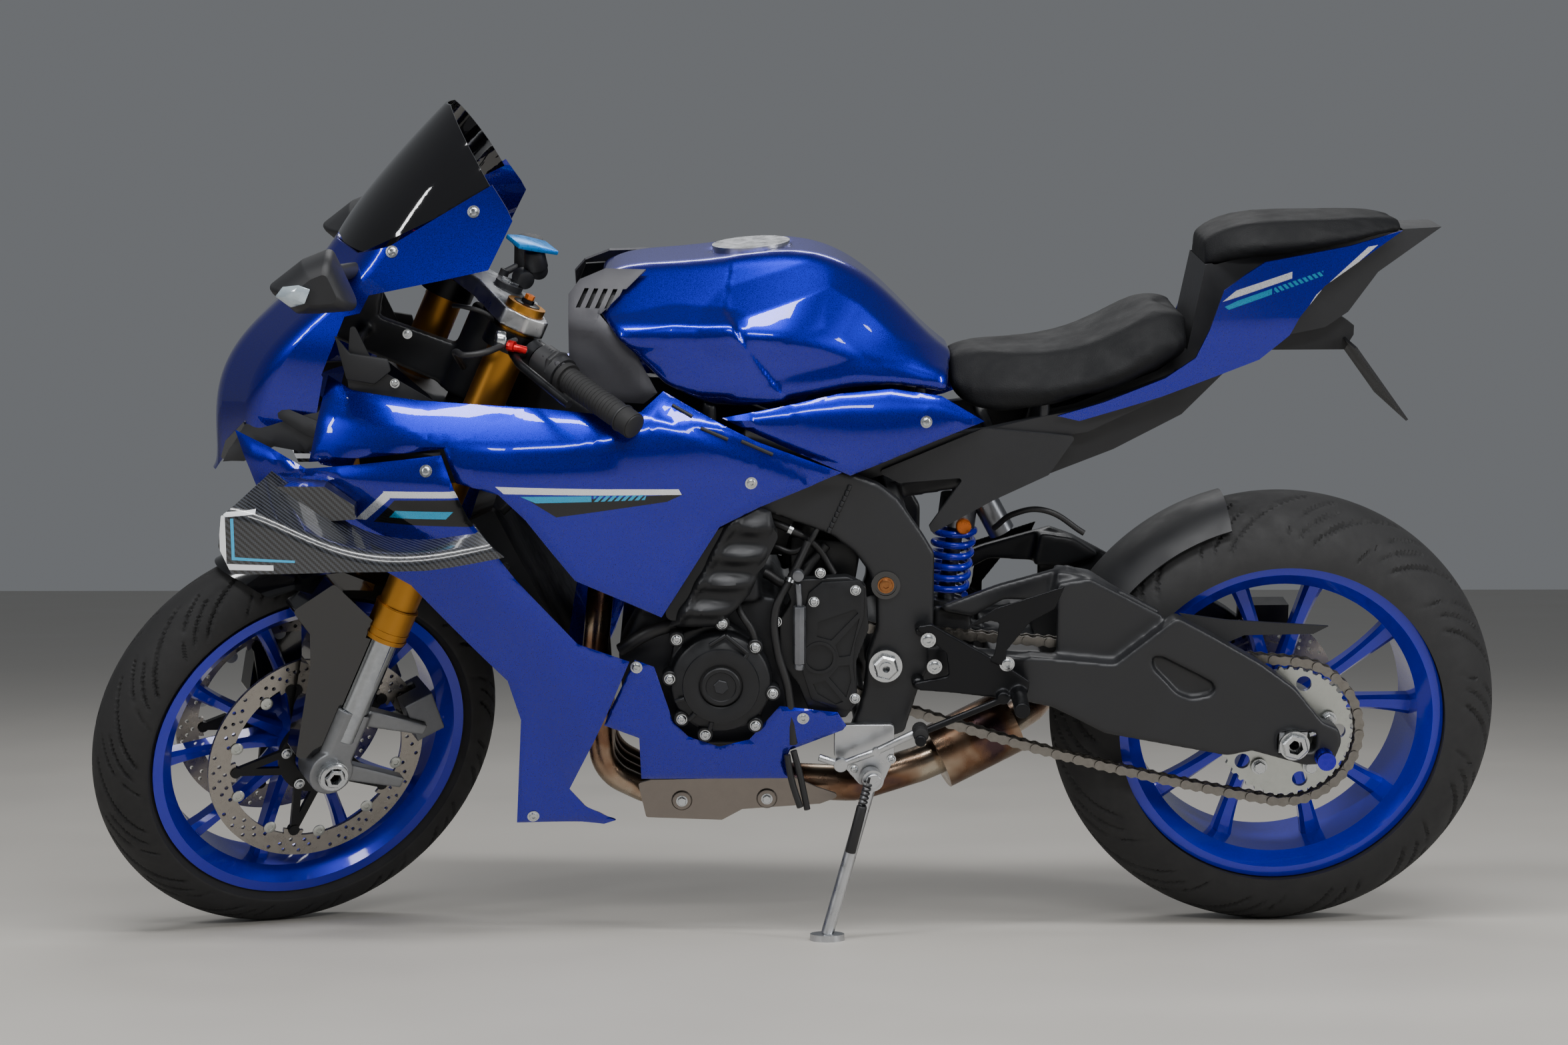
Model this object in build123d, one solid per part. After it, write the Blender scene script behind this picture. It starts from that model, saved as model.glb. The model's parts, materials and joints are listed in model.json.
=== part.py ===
from build123d import *
import os
from functools import cache
from math import asin, atan2, cos, degrees, hypot, pi, radians, sin, sqrt, tan

# A litre-class sport bike, modelled upright and then leaned onto its side stand.
# Upright frame in mm: x runs back from the rear axle, y to the rider's right, z up from the ground.

# ---- stance ----------------------------------------------------------------
wheelbase = 1405.0
rake = 24.0  # steering axis from the vertical, degrees
trail = 102.0
steering_lock = 30.0  # each side of straight ahead, degrees
lean = 13.5  # rest angle on the side stand, degrees
stand_swing = 90.0  # side stand from down to folded, degrees

# ---- wheels and brakes -----------------------------------------------------
rim_flange_r = 232.5
bead_r = 222.0
barrel_r = 207.0
barrel_wall = 7.0
front_tyre_r = 300.0
front_crown_r = 60.0  # crown radius, and half the tyre's width
front_rim_half = 51.0
rear_tyre_r = 320.5
rear_crown_r = 95.0
rear_rim_half = 79.0
flange_w = 8.0
spoke_pairs = 5
axle_r = 12.5
bore_gap = 0.05  # radial clearance of a pin in its bore
front_hub_half = 58.0
rear_hub_half = 70.0
foot_half = 20.0  # half width of the fork feet at the axle
rear_axle_half = 180.0
disc_outer_r = 160.0
disc_inner_r = 128.0
disc_t = 4.5
disc_y = 70.0
bobbin_r = 8.0
rear_disc_r = 110.0
spool_xz = (44.0, 300.0)
spool_r = 8.0
spool_length = 20.0

# ---- chain drive -----------------------------------------------------------
chain_pitch = 15.875
chain_y = -114.0
chain_w = 18.0
chain_half_h = 7.5
front_teeth = 16
rear_teeth = 41
front_sprocket_xz = (-645.0, 441.5)
chain_sag = 16.0
sprocket_gap = 1.0

# ---- front fork ------------------------------------------------------------
fork_y = 108.0
fork_offset = 26.0  # fork tubes ahead of the steering axis
outer_r = 27.0
slider_r = 21.5
foot_r = 28.5
foot_top = 95.0  # these heights are along the fork, from the axle
outer_bottom = 208.0
outer_top = 722.0
top_clamp_s = 688.0
top_clamp_t = 24.0
low_clamp_s = 500.0
low_clamp_t = 34.0
stem_r = 20.0
head_r = 36.0
clip_on_s = 655.0
clip_on_t = 28.0

# ---- panels ----------------------------------------------------------------
panel_t = 4.0
screen_t = 3.5
plate_in = 127.0  # frame plates, from the middle plane
plate_out = 150.0
rail_in = 96.0  # subframe rails
rail_out = 112.0
pivot_xz = (-569.0, 435.0)
cockpit_in = 160.0  # inner panels beside the forks
seam = 0.3  # clearance between pieces that meet along a curved face

stand_pivot = (-588.0, -177.0, 276.0)
stand_pin_r = 6.0
stand_eye_half = 11.5
stand_foot = (-651.0, -220.0, 55.0)

# ---- worked out from the above ---------------------------------------------
rear_axle = Vector(0, 0, rear_tyre_r)
front_axle = Vector(-wheelbase, 0, front_tyre_r)
steer_up = Vector(sin(radians(rake)), 0, cos(radians(rake)))
steer_ahead = Vector(-cos(radians(rake)), 0, sin(radians(rake)))
steer_foot = Vector(-wheelbase - trail, 0, 0)
axle_along = (front_axle - steer_foot).dot(steer_up)


# ---- shape helpers ---------------------------------------------------------
def rounded_path(points, radius, closed=False):
    """Edges of straight runs joined by tangent arcs, through 3-D points."""
    pts = [Vector(*p) for p in points]
    count = len(pts)
    corners = []
    for i, here in enumerate(pts):
        if radius == 0 or (not closed and i in (0, count - 1)):
            corners.append((here, here, here))
            continue
        before = pts[i - 1] - here
        after = pts[(i + 1) % count] - here
        u, v = before.normalized(), after.normalized()
        half = radians(u.get_angle(v)) / 2
        reach = min(0.45 * before.length, 0.45 * after.length)
        middle = Vector(0, 0, 0)
        if half < radians(89.8):
            reach = min(reach, radius / tan(half))
            middle = (u + v).normalized() * (reach / cos(half) - reach * tan(half))
        corners.append((here + u * reach, here + middle, here + v * reach))
    edges = []
    for i, (start, middle, finish) in enumerate(corners):
        if (finish - start).length > 1e-4:
            straight = (middle - (start + finish) * 0.5).length < 1e-4
            edges.append(Line(start, finish) if straight else ThreePointArc(start, middle, finish))
        if i < count - 1 or closed:
            following = corners[(i + 1) % count][0]
            if (following - finish).length > 1e-4:
                edges.append(Line(finish, following))
    return edges


def outline_face(points, radius=0.0):
    """A flat face inside a closed outline of 3-D points."""
    return Face(Wire(rounded_path(points, radius, closed=True)))


def side_prism(outline, y0, y1, radius=0.0):
    """An (x, z) outline carried from y0 to y1."""
    face = outline_face([(x, y0, z) for x, z in outline], radius)
    return extrude(face, amount=abs(y1 - y0), dir=(0, 1 if y1 > y0 else -1, 0))


def box(x0, x1, y0, y1, z0, z1):
    middle = ((x0 + x1) / 2, (y0 + y1) / 2, (z0 + z1) / 2)
    return Pos(*middle) * Box(abs(x1 - x0), abs(y1 - y0), abs(z1 - z0))


def rod(start, finish, radius):
    start, finish = Vector(*start), Vector(*finish)
    run = finish - start
    return extrude(Plane(origin=start, z_dir=run) * Circle(radius), amount=run.length)


def tube(points, radius, bend, wall=0.0):
    """A round tube along straight runs joined by arcs."""
    path = Wire(rounded_path(points, bend))
    start = Vector(*points[0])
    section = Circle(radius)
    if wall:
        section -= Circle(radius - wall)
    return sweep(Plane(origin=start, z_dir=Vector(*points[1]) - start) * section, path=path)


def turned(profile, centre, radius=0.0):
    """A closed (radius, y) profile turned about the line along y through centre."""
    face = outline_face([(r, y, 0) for r, y in profile], radius)
    return Pos(*centre) * revolve(face, Axis.Y)


def ring(centre, outer, inner, y0, y1):
    return turned([(inner, y0), (outer, y0), (outer, y1), (inner, y1)], centre)


def across(x, z, radius, y0, y1):
    """A cylinder along y."""
    return rod((x, min(y0, y1), z), (x, max(y0, y1), z), radius)


def mirrored(shape):
    return mirror(shape, Plane.XZ)


def group(*shapes):
    """Several solids that stay apart, as one shape."""
    solids = []
    for shape in shapes:
        solids += shape.solids()
    return Compound(solids)


def both(shape):
    return group(shape, mirrored(shape))


def largest(shape):
    """The main solid of a cut, without its crumbs."""
    return max(shape.solids(), key=lambda s: s.volume)


def on_fork(s, ahead, y):
    """A point given along the fork from the axle, ahead of the steering axis, and across."""
    return steer_foot + steer_up * (axle_along + s) + steer_ahead * ahead + Vector(0, y, 0)


def fork_rod(y, s0, s1, radius, ahead=fork_offset):
    return rod(on_fork(s0, ahead, y), on_fork(s1, ahead, y), radius)


def fork_plate(outline, s0, s1, radius=0.0):
    """An (ahead, y) outline across the fork, carried along it from s0 to s1."""
    face = outline_face([on_fork(s0, a, y) for a, y in outline], radius)
    return extrude(face, amount=s1 - s0, dir=tuple(steer_up))


def offset_run(points, distance):
    """The points of an open 2-D run moved to its left by a distance."""
    moved = []
    count = len(points)
    for i, (a, b) in enumerate(points):
        normals = []
        for j in (i - 1, i):
            if 0 <= j < count - 1:
                da, db = points[j + 1][0] - points[j][0], points[j + 1][1] - points[j][1]
                size = hypot(da, db)
                normals.append((-db / size, da / size))
        na = sum(n[0] for n in normals) / len(normals)
        nb = sum(n[1] for n in normals) / len(normals)
        scale = distance / (na * na + nb * nb)
        moved.append((a + na * scale, b + nb * scale))
    return moved


def strip_face(points, thickness, radius, to_space):
    """A thin closed section along an open 2-D run, thickened to the run's left."""
    inner = offset_run(points, thickness)
    outer_edges = rounded_path([to_space(*p) for p in points], radius)
    inner_edges = rounded_path([to_space(*p) for p in reversed(inner)], radius)
    caps = [Line(outer_edges[-1] @ 1, inner_edges[0] @ 0), Line(inner_edges[-1] @ 1, outer_edges[0] @ 0)]
    return Face(Wire(outer_edges + [caps[0]] + inner_edges + [caps[1]]))


def shell_along_x(stations, thickness, radius):
    """A thin shell lofted through runs of (y, z) points, each at its own x."""
    faces = []
    for x, run in stations:
        faces.append(strip_face(run, thickness, radius, lambda y, z: (x, y, z)))
    return loft(faces)


def shell_along_z(stations, thickness, radius):
    """A thin shell lofted through runs of (x, y) points, each at its own z."""
    faces = []
    for z, run in stations:
        faces.append(strip_face(run, thickness, radius, lambda x, y: (x, y, z)))
    return loft(faces)


def body_along_x(stations, radius):
    """A solid lofted through closed outlines of (y, z) points, each at its own x."""
    return loft([outline_face([(x, y, z) for y, z in run], radius) for x, run in stations])


def blade(stations, radius=0.0):
    """A solid lofted through closed outlines of 3-D points."""
    return loft([outline_face(run, radius) for run in stations])


# ---- wheels ----------------------------------------------------------------
def tyre(centre, outer_r, crown_r, rim_half):
    """A round-crowned radial tyre, solid down to the rim's barrel."""
    ring_r = outer_r - crown_r
    shoulder = radians(14)
    side = (ring_r - crown_r * sin(shoulder) * 0.2, crown_r * cos(shoulder * 0.3))
    top = (outer_r, 0)
    mid_a = (ring_r + crown_r * sin(radians(45)), crown_r * cos(radians(45)))
    lip = rim_half - flange_w
    right = [(bead_r + 13, lip + 4), (bead_r, lip), (barrel_r + seam, lip - 9)]
    bulge_r = (side[0] + bead_r + 13) / 2
    bulge = max(crown_r - 1.5, rim_half + 3)
    edges = [
        ThreePointArc((side[0], -side[1], 0), (mid_a[0], -mid_a[1], 0), (top[0], 0, 0)),
        ThreePointArc((top[0], 0, 0), (mid_a[0], mid_a[1], 0), (side[0], side[1], 0)),
        ThreePointArc((side[0], side[1], 0), (bulge_r, bulge - 1, 0), (right[0][0], right[0][1], 0)),
    ]
    chain = [right[0], right[1], right[2], (right[2][0], -right[2][1]), (right[1][0], -right[1][1])]
    chain.append((right[0][0], -right[0][1]))
    for a, b in zip(chain, chain[1:]):
        edges.append(Line((a[0], a[1], 0), (b[0], b[1], 0)))
    edges.append(
        ThreePointArc((right[0][0], -right[0][1], 0), (bulge_r, 1 - bulge, 0), (side[0], -side[1], 0))
    )
    return Pos(*centre) * revolve(Face(Wire(edges)), Axis.Y)


def rim(centre, rim_half, hub_half, hub_r, hub_bore, spoke_w):
    """A cast wheel: barrel with flanges, hub, and five forked pairs of spokes."""
    lip = rim_half - flange_w
    low = barrel_r - barrel_wall
    profile = [
        (low, -rim_half + 20),
        (bead_r - 4, -rim_half),
        (rim_flange_r, -rim_half),
        (rim_flange_r, -rim_half + 3),
        (bead_r, -lip),
        (barrel_r, -lip + 9),
    ]
    profile += [(r, -y) for r, y in reversed(profile)]
    body = turned(profile, (0, 0, 0))
    hub = [(hub_bore, -hub_half), (hub_r, -hub_half), (hub_r + 8, 0), (hub_r, hub_half), (hub_bore, hub_half)]
    body += turned(hub, (0, 0, 0))
    for pair in range(spoke_pairs):
        for side in (-1, 1):
            root_angle = 360 / spoke_pairs * pair + 90 + side * 11
            tip_angle = 360 / spoke_pairs * pair + 90 + side * 17
            sections = []
            for r, angle, wide, deep in (
                (hub_r - 3, root_angle, 26.0, 2 * hub_half * 0.42),
                (120.0, (root_angle + tip_angle) / 2, spoke_w * 0.8, 34.0),
                (low + 3, tip_angle, spoke_w * 1.25, 30.0),
            ):
                along = Vector(cos(radians(angle)), 0, sin(radians(angle)))
                over = Vector(-along.Z, 0, along.X)
                middle = along * r
                corners = []
                for o, y in ((-0.5, -0.28), (-0.28, -0.5), (0.28, -0.5), (0.5, -0.28),
                             (0.5, 0.28), (0.28, 0.5), (-0.28, 0.5), (-0.5, 0.28)):
                    corners.append(middle + over * (o * wide) + Vector(0, y * deep, 0))
                sections.append(corners)
            body += blade(sections)
    return Pos(*centre) * body


front_pitch_r = chain_pitch / 2 / sin(pi / front_teeth)
rear_pitch_r = chain_pitch / 2 / sin(pi / rear_teeth)


def toothed_disc(centre, teeth, tip_r, root_r, y0, y1):
    """A sprocket blank with flat-topped teeth."""
    points = []
    for i in range(teeth):
        for share, r in ((-0.30, root_r), (-0.13, tip_r), (0.13, tip_r), (0.30, root_r)):
            angle = 2 * pi * (i + share) / teeth
            points.append((centre[0] + r * cos(angle), centre[1] + r * sin(angle)))
    return side_prism(points, y0, y1)


def chain_path():
    """Points along the chain's centre line with their outward normals, a half pitch apart."""
    fx, fz = front_sprocket_xz
    rx, rz = 0.0, rear_tyre_r
    span = hypot(rx - fx, rz - fz)
    slope = atan2(rz - fz, rx - fx)
    spread = asin((rear_pitch_r - front_pitch_r) / span)
    up = slope + pi / 2 + spread
    down = slope - pi / 2 - spread
    marks = []
    arc_step = chain_pitch / 2

    def arc(cx, cz, r, a0, a1):
        steps = max(2, round(abs(a1 - a0) * r / arc_step))
        for i in range(steps):
            a = a0 + (a1 - a0) * i / steps
            marks.append((cx + r * cos(a), cz + r * sin(a), cos(a), sin(a)))

    def run(p, q, sag):
        length = hypot(q[0] - p[0], q[1] - p[1])
        steps = round(length / arc_step)
        nx, nz = (p[1] - q[1]) / length, (q[0] - p[0]) / length
        for i in range(steps):
            t = i / steps
            drop = 4 * sag * t * (1 - t)
            marks.append((p[0] + (q[0] - p[0]) * t, p[1] + (q[1] - p[1]) * t - drop, nx, nz))

    top_rear = (rx + rear_pitch_r * cos(up), rz + rear_pitch_r * sin(up))
    low_rear = (rx + rear_pitch_r * cos(down), rz + rear_pitch_r * sin(down))
    top_front = (fx + front_pitch_r * cos(up), fz + front_pitch_r * sin(up))
    low_front = (fx + front_pitch_r * cos(down), fz + front_pitch_r * sin(down))
    arc(rx, rz, rear_pitch_r, up, down)
    start = len(marks)
    run(low_rear, low_front, chain_sag)
    for i in range(start, len(marks)):
        x, z, nx, nz = marks[i]
        marks[i] = (x, z, -nx if nz > 0 else nx, -abs(nz))
    arc(fx, fz, front_pitch_r, down + 2 * pi, up)
    start = len(marks)
    run(top_front, top_rear, 0.0)
    for i in range(start, len(marks)):
        x, z, nx, nz = marks[i]
        marks[i] = (x, z, nx if nz > 0 else -nx, abs(nz))
    return marks


def chain_loop():
    """The roller chain as one fixed band whose edges follow the link plates."""
    marks = chain_path()
    outer, inner = [], []
    for i, (x, z, nx, nz) in enumerate(marks):
        half = chain_half_h if i % 2 == 0 else chain_half_h - 2.2
        outer.append((x + nx * half, z + nz * half))
        inner.append((x - nx * half, z - nz * half))
    band = side_prism(outer, chain_y - chain_w / 2, chain_y + chain_w / 2)
    band -= side_prism(inner, chain_y - chain_w, chain_y + chain_w)
    return band


def bobbins(centre, ring_r, y0, y1, count, radius):
    spots = []
    for i in range(count):
        angle = 2 * pi * (i + 0.5) / count
        spots.append(across(centre.X + ring_r * cos(angle), centre.Z + ring_r * sin(angle), radius, y0, y1))
    return spots


def brake_disc(centre, y, outer_r, inner_r, lugs):
    """A floating disc with lugs that reach in to its bobbins."""
    half = disc_t / 2
    disc = ring(centre, outer_r, inner_r, y - half, y + half)
    lug_r = inner_r - 8
    for lug in bobbins(centre, lug_r, y - half, y + half, lugs, 15.0):
        disc += lug
    disc -= ring(centre, lug_r + seam, lug_r - 30, y - 20, y + 20)
    for hole in bobbins(centre, lug_r, y - 20, y + 20, lugs, bobbin_r + seam):
        disc -= hole
    return disc


def disc_carrier(centre, y, ring_out, hub_in, hub_bolt_r, lugs, foot_y):
    """The black inner carrier: a hub ring, arms out to each bobbin and the bobbins themselves."""
    half = 3.0
    body = ring(centre, hub_bolt_r + 9, hub_in, y - half, y + half)
    for i in range(lugs):
        angle = 360 * (i + 0.5) / lugs
        for skew in (-0.32, 0.32):
            base = Vector(hub_bolt_r * cos(skew), hub_bolt_r * sin(skew))
            tip = Vector(ring_out - 1, 0)
            run = tip - base
            side = Vector(-run.Y, run.X).normalized() * 5.5
            bar = [base - side, tip - side, tip + side, base + side]
            arm = side_prism([(p.X, p.Y) for p in bar], y - half, y + half)
            body += Pos(*centre) * Rot(0, -angle, 0) * arm
    for pin in bobbins(centre, ring_out, y - 4.5, y + 4.5, lugs, bobbin_r):
        body += pin
    body += ring(centre, hub_bolt_r + 6, hub_in, min(foot_y, y), max(foot_y, y))
    return body


# ---- front end: everything that steers -------------------------------------
def front_axle_shaft():
    end = fork_y + foot_half + 8
    shaft = across(front_axle.X, front_axle.Z, axle_r, -end, end)
    for side in (-1, 1):
        inner = side * (front_hub_half + 0.5)
        shaft += across(front_axle.X, front_axle.Z, 18.0, inner, side * (fork_y - foot_r))
        shaft += across(front_axle.X, front_axle.Z, 22.0, side * (fork_y + foot_half), side * end)
    shaft -= across(front_axle.X, front_axle.Z, 8.0, -200, 200)
    return shaft


def fork_foot(side):
    """A cast fork foot with its axle eye and the two caliper arms."""
    y = side * fork_y
    foot = fork_rod(y, 0.0, foot_top, foot_r - 2)
    near, far = y - side * foot_r, y + side * foot_half
    foot += across(front_axle.X, front_axle.Z, foot_r + 4, near, far)
    foot &= box(-1700, -1100, near, far, 0, 600)
    for s, ahead in ((88.0, -118.0), (2.0, -118.0)):
        arm = [on_fork(s - 14, fork_offset, y - 10), on_fork(s + 14, fork_offset, y - 10),
               on_fork(s + 8, ahead + fork_offset, y - 10), on_fork(s - 8, ahead + fork_offset, y - 10)]
        foot += extrude(outline_face(arm), amount=20, dir=(0, 1, 0))
    foot -= across(front_axle.X, front_axle.Z, axle_r, y - 60, y + 60)
    foot -= fork_rod(y, 50.0, foot_top + 60, slider_r)
    return largest(foot)


def fork_feet():
    return group(fork_foot(-1), fork_foot(1))


def fork_sliders():
    return both(fork_rod(-fork_y, 50.0, outer_bottom + 160, slider_r))


def fork_outers():
    leg = fork_rod(-fork_y, outer_bottom, outer_top, outer_r)
    leg += fork_rod(-fork_y, outer_bottom, outer_bottom + 52, outer_r + 3)
    leg -= fork_rod(-fork_y, outer_bottom - 10, outer_bottom + 160, slider_r)
    return both(leg)


def clamp_outline(front, rear, half):
    return [(fork_offset + front, -half + 26), (fork_offset + front - 14, 0), (fork_offset + front, half - 26),
            (fork_offset + 12, half), (fork_offset - 22, half), (rear, 34), (rear, -34),
            (fork_offset - 22, -half), (fork_offset + 12, -half)]


def top_clamp():
    plate = fork_plate(clamp_outline(36, -34, fork_y + 38), top_clamp_s, top_clamp_s + top_clamp_t, 10)
    for y in (-fork_y, fork_y):
        plate -= fork_rod(y, 600, 800, outer_r)
    plate -= fork_rod(0, 600, 800, stem_r, 0)
    return plate


def steering_stem():
    """The lower clamp with the stem that turns in the head tube."""
    plate = fork_plate(clamp_outline(38, -30, fork_y + 38), low_clamp_s, low_clamp_s + low_clamp_t, 10)
    for y in (-fork_y, fork_y):
        plate -= fork_rod(y, 400, 600, outer_r)
    plate += fork_rod(0, low_clamp_s, top_clamp_s + top_clamp_t + 8, stem_r, 0)
    return plate


bar_root = on_fork(clip_on_s + clip_on_t / 2, fork_offset, -fork_y)
bar_end = Vector(-1059, -342, 866)


def bar_point(along, side=-1):
    """A point on the handlebar, from the outer end inwards."""
    point = bar_end + (bar_root - bar_end).normalized() * along
    return Vector(point.X, point.Y if side < 0 else -point.Y, point.Z)


def clip_ons():
    bar = fork_rod(-fork_y, clip_on_s, clip_on_s + clip_on_t, outer_r + 11)
    bar += rod(bar_point(6), bar_root, 11.0)
    bar -= fork_rod(-fork_y, clip_on_s - 40, clip_on_s + 80, outer_r)
    bar = largest(bar)
    return both(bar)


def grips():
    grip = rod(bar_point(22), bar_point(138), 17.0)
    grip += rod(bar_point(132), bar_point(140), 21.0)
    grip += rod(bar_point(0), bar_point(22), 18.0)
    grip -= rod(bar_point(6), bar_point(160), 11.0)
    return both(grip)


def switchgear():
    pod = rod(bar_point(142), bar_point(186), 24.0)
    pod -= rod(bar_point(100), bar_point(230), 11.0)
    return both(pod)


def lever_blade(side):
    """A hand lever with its perch on the bar."""
    perch = rod(bar_point(190), bar_point(206), 21.0) - rod(bar_point(100), bar_point(260), 11.0)
    pivot = bar_point(196) + steer_ahead * 40 + Vector(0, 0, -4)
    perch += rod(bar_point(198) + steer_ahead * 18, pivot, 9.0)
    tip = bar_point(52) + steer_ahead * 62 + Vector(0, 0, -12)
    knee = bar_point(160) + steer_ahead * 56 + Vector(0, 0, -8)
    blade_rod = tube([pivot, knee, tip], 6.0, 30)
    lever = largest(perch + blade_rod)
    return lever if side < 0 else mirrored(lever)


def brake_reservoir():
    """The brake fluid pot on its stalk above the right end of the top clamp."""
    base = Vector(-1024, 78, 934)
    pot = rod(base, base + Vector(0, 0, 34), 19.0)
    pot += rod(base + Vector(0, 0, 34), base + Vector(0, 0, 42), 21.0)
    root = on_fork(top_clamp_s + top_clamp_t, -26, 70)
    pot += rod(root, root + steer_up * 10, 7.0)
    pot += rod(root + steer_up * 5, base + Vector(-6, 0, 6), 5.0)
    return pot


def front_caliper(side):
    """A radial caliper in two halves round the disc, joined over its edge."""
    slot = disc_t / 2 + 5.1
    inner_r, outer_r, half = 134.0, 178.0, 32.0
    body = box(inner_r, outer_r, side * (disc_y - 19), side * (disc_y + 40), -half, half)
    body -= box(0, disc_outer_r + 6, side * (disc_y - slot), side * (disc_y + slot), -half, half)
    return Pos(*front_axle) * Rot(0, -18, 0) * body


def front_calipers():
    calipers = []
    for side, foot in ((-1, fork_foot(-1)), (1, fork_foot(1))):
        calipers.append(largest(front_caliper(side) - foot))
    return group(*calipers)


def tyre_cover(centre, outer_tyre_r, crown_r, gap, thickness, reach):
    """A ring of crowned sheet that stands off a tyre; a side outline cuts it to length."""
    ring_r = outer_tyre_r - crown_r
    spread = radians(reach)
    near, far = crown_r + gap, crown_r + gap + thickness

    def spot(r, a):
        return (ring_r + r * cos(a), r * sin(a), 0)

    edges = [
        ThreePointArc(spot(far, -spread), spot(far, 0), spot(far, spread)),
        Line(spot(far, spread), spot(near, spread)),
        ThreePointArc(spot(near, spread), spot(near, 0), spot(near, -spread)),
        Line(spot(near, -spread), spot(far, -spread)),
    ]
    return Pos(*centre) * revolve(Face(Wire(edges)), Axis.Y)


fender_outline = [(-1545, 600), (-1545, 668), (-1440, 668), (-1300, 600), (-1262, 512), (-1312, 470),
                  (-1388, 505), (-1450, 548), (-1500, 582)]
fender_leg_outline = [(-1452, 330), (-1428, 470), (-1428, 520), (-1452, 560), (-1392, 590), (-1318, 500),
                      (-1344, 440), (-1392, 330), (-1412, 318)]


def front_fender():
    shell = tyre_cover(front_axle, front_tyre_r, front_crown_r, 8.0, 3.5, 68)
    shell &= side_prism(fender_outline, -90, 90)
    leg = side_prism(fender_leg_outline, -fork_y - 6, -disc_y - 10, 6)
    leg -= fork_rod(-fork_y, -60, 260, slider_r + 1.2)
    leg -= fork_rod(-fork_y, -60, foot_top, foot_r - 2 + seam)
    leg -= fork_rod(-fork_y, outer_bottom - 4, 300, outer_r + 4)
    leg -= across(front_axle.X, front_axle.Z, foot_r + 6, -200, 0)
    leg = largest(leg)
    bridge = ring(front_axle, 290, 263, -82, -64.5)
    bridge &= side_prism([(-1440, 515), (-1340, 505), (-1320, 560), (-1420, 620)], -90, -60)
    side = leg + bridge
    return shell + side + mirrored(side)


# ---- frame, engine and drive -----------------------------------------------
frame_plate_outline = [(-742, 656), (-681, 633), (-644, 619), (-613, 595), (-592, 565), (-582, 526), (-581, 487),
                       (-594, 448), (-598, 399), (-605, 369), (-621, 329), (-605, 314), (-541, 334), (-534, 358),
                       (-522, 398), (-508, 428), (-509, 467), (-502, 487), (-502, 591), (-518, 618), (-553, 669),
                       (-579, 690), (-635, 712), (-742, 735)]


def fairing_stay():
    """The stay ahead of the head tube that carries the dash and the nose."""
    corners = [on_fork(552, 30, 0), on_fork(552, 212, 0), on_fork(576, 208, 0), Vector(-1262, 0, 985),
               Vector(-1252, 0, 985), on_fork(604, 148, 0), on_fork(612, 30, 0)]
    arm = side_prism([(c.X, c.Z) for c in corners], -12, 12)
    near, far = on_fork(582, 158, 0), on_fork(562, 202, 0)
    arm += across(near.X, near.Z, 7, -cockpit_in, cockpit_in)
    return largest(arm + across(far.X, far.Z, 7, -180, 180) - nose_cowl())


@cache
def main_frame():
    plate = side_prism(frame_plate_outline, -plate_out, -plate_in, 5)
    stations = []
    for x, y0, y1, z0, z1 in (
        (-700.0, -plate_out, -plate_in, 642, 724),
        (-850.0, -160, -130, 684, 784),
        (-970.0, -130, -98, 733, 796),
        (-1060.0, -84, -54, 765, 842),
        (-1112.0, -46, -12, 796, 862),
    ):
        stations.append([(x, y0, z0), (x, y1, z0), (x, y1, z1), (x, y0, z1)])
    spar = loft([outline_face(s) for s in stations], ruled=True)
    side = plate + spar
    side -= across(*pivot_xz, axle_r + bore_gap, -200, 0)
    frame = side + mirrored(side)
    frame += fork_rod(0, 548, 676, head_r, 0)
    frame += across(-556, 648, 16, -plate_in, plate_in)
    frame += across(-600, 345, 12, -plate_in, plate_in)
    frame += fairing_stay()
    frame += clevis([(-560, 636), (-456, 653), (-437, 668), (-452, 683), (-560, 662)], shock_high)
    for side in (-1, 1):
        frame += box(-872, -828, side * 122, side * 138, 648, 700)
        frame += rod((-810, side * 145, 760), (-810, side * 145, 830), 10.0) - fuel_tank()
    frame -= fork_rod(0, 400, 800, stem_r + bore_gap, 0)
    return frame


@cache
def subframe():
    outline = [(-640, 700), (-600, 738), (-430, 758), (-360, 774), (-300, 786), (-190, 826), (-120, 856),
               (-112, 838), (-290, 754), (-430, 732), (-590, 690)]
    rail = side_prism(outline, -rail_out, -rail_in, 4)
    rail += across(-612, 714, 12, -plate_in, -rail_in)
    rails = rail + mirrored(rail)
    for x, z in ((-420.0, 744.0), (-160.0, 826.0)):
        rails += across(x, z, 9, -rail_in, rail_in)
    middle = (rail_in + rail_out) / 2
    for side in (-1, 1):
        rails += rod((-520, side * middle, 738), (-520, side * middle, 830), 7.0) - fuel_tank()
        rails += rod((-350, side * middle, 765), (-350, side * middle, 812), 7.0) - rider_seat()
    return rails


@cache
def engine_block():
    case = side_prism([(-930, 345), (-938, 455), (-905, 520), (-815, 545), (-720, 530), (-705, 500), (-705, 345),
                       (-760, 318), (-880, 318)], -150, 150, 12)
    rear = side_prism([(-712, 500), (-650, 520), (-628, 500), (-628, 372), (-660, 340), (-712, 335)], -98, 108, 6)
    barrels = side_prism([(-905, 510), (-740, 530), (-757, 636), (-915, 636)], -165, 165, 8)
    head = side_prism([(-912, 630), (-770, 630), (-790, 676), (-905, 676)], -122, 122, 8)
    pan = side_prism([(-880, 325), (-750, 325), (-770, 262), (-862, 262)], -88, 88, 12)
    lug = side_prism([(-640, 362), (-640, 336), (-604, 327), (-584, 345), (-604, 360)], -40, 40)
    return case + rear + barrels + head + pan + (lug - across(-600, 345, 12, -60, 60))


generator_xz = (-797.0, 422.0)


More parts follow.
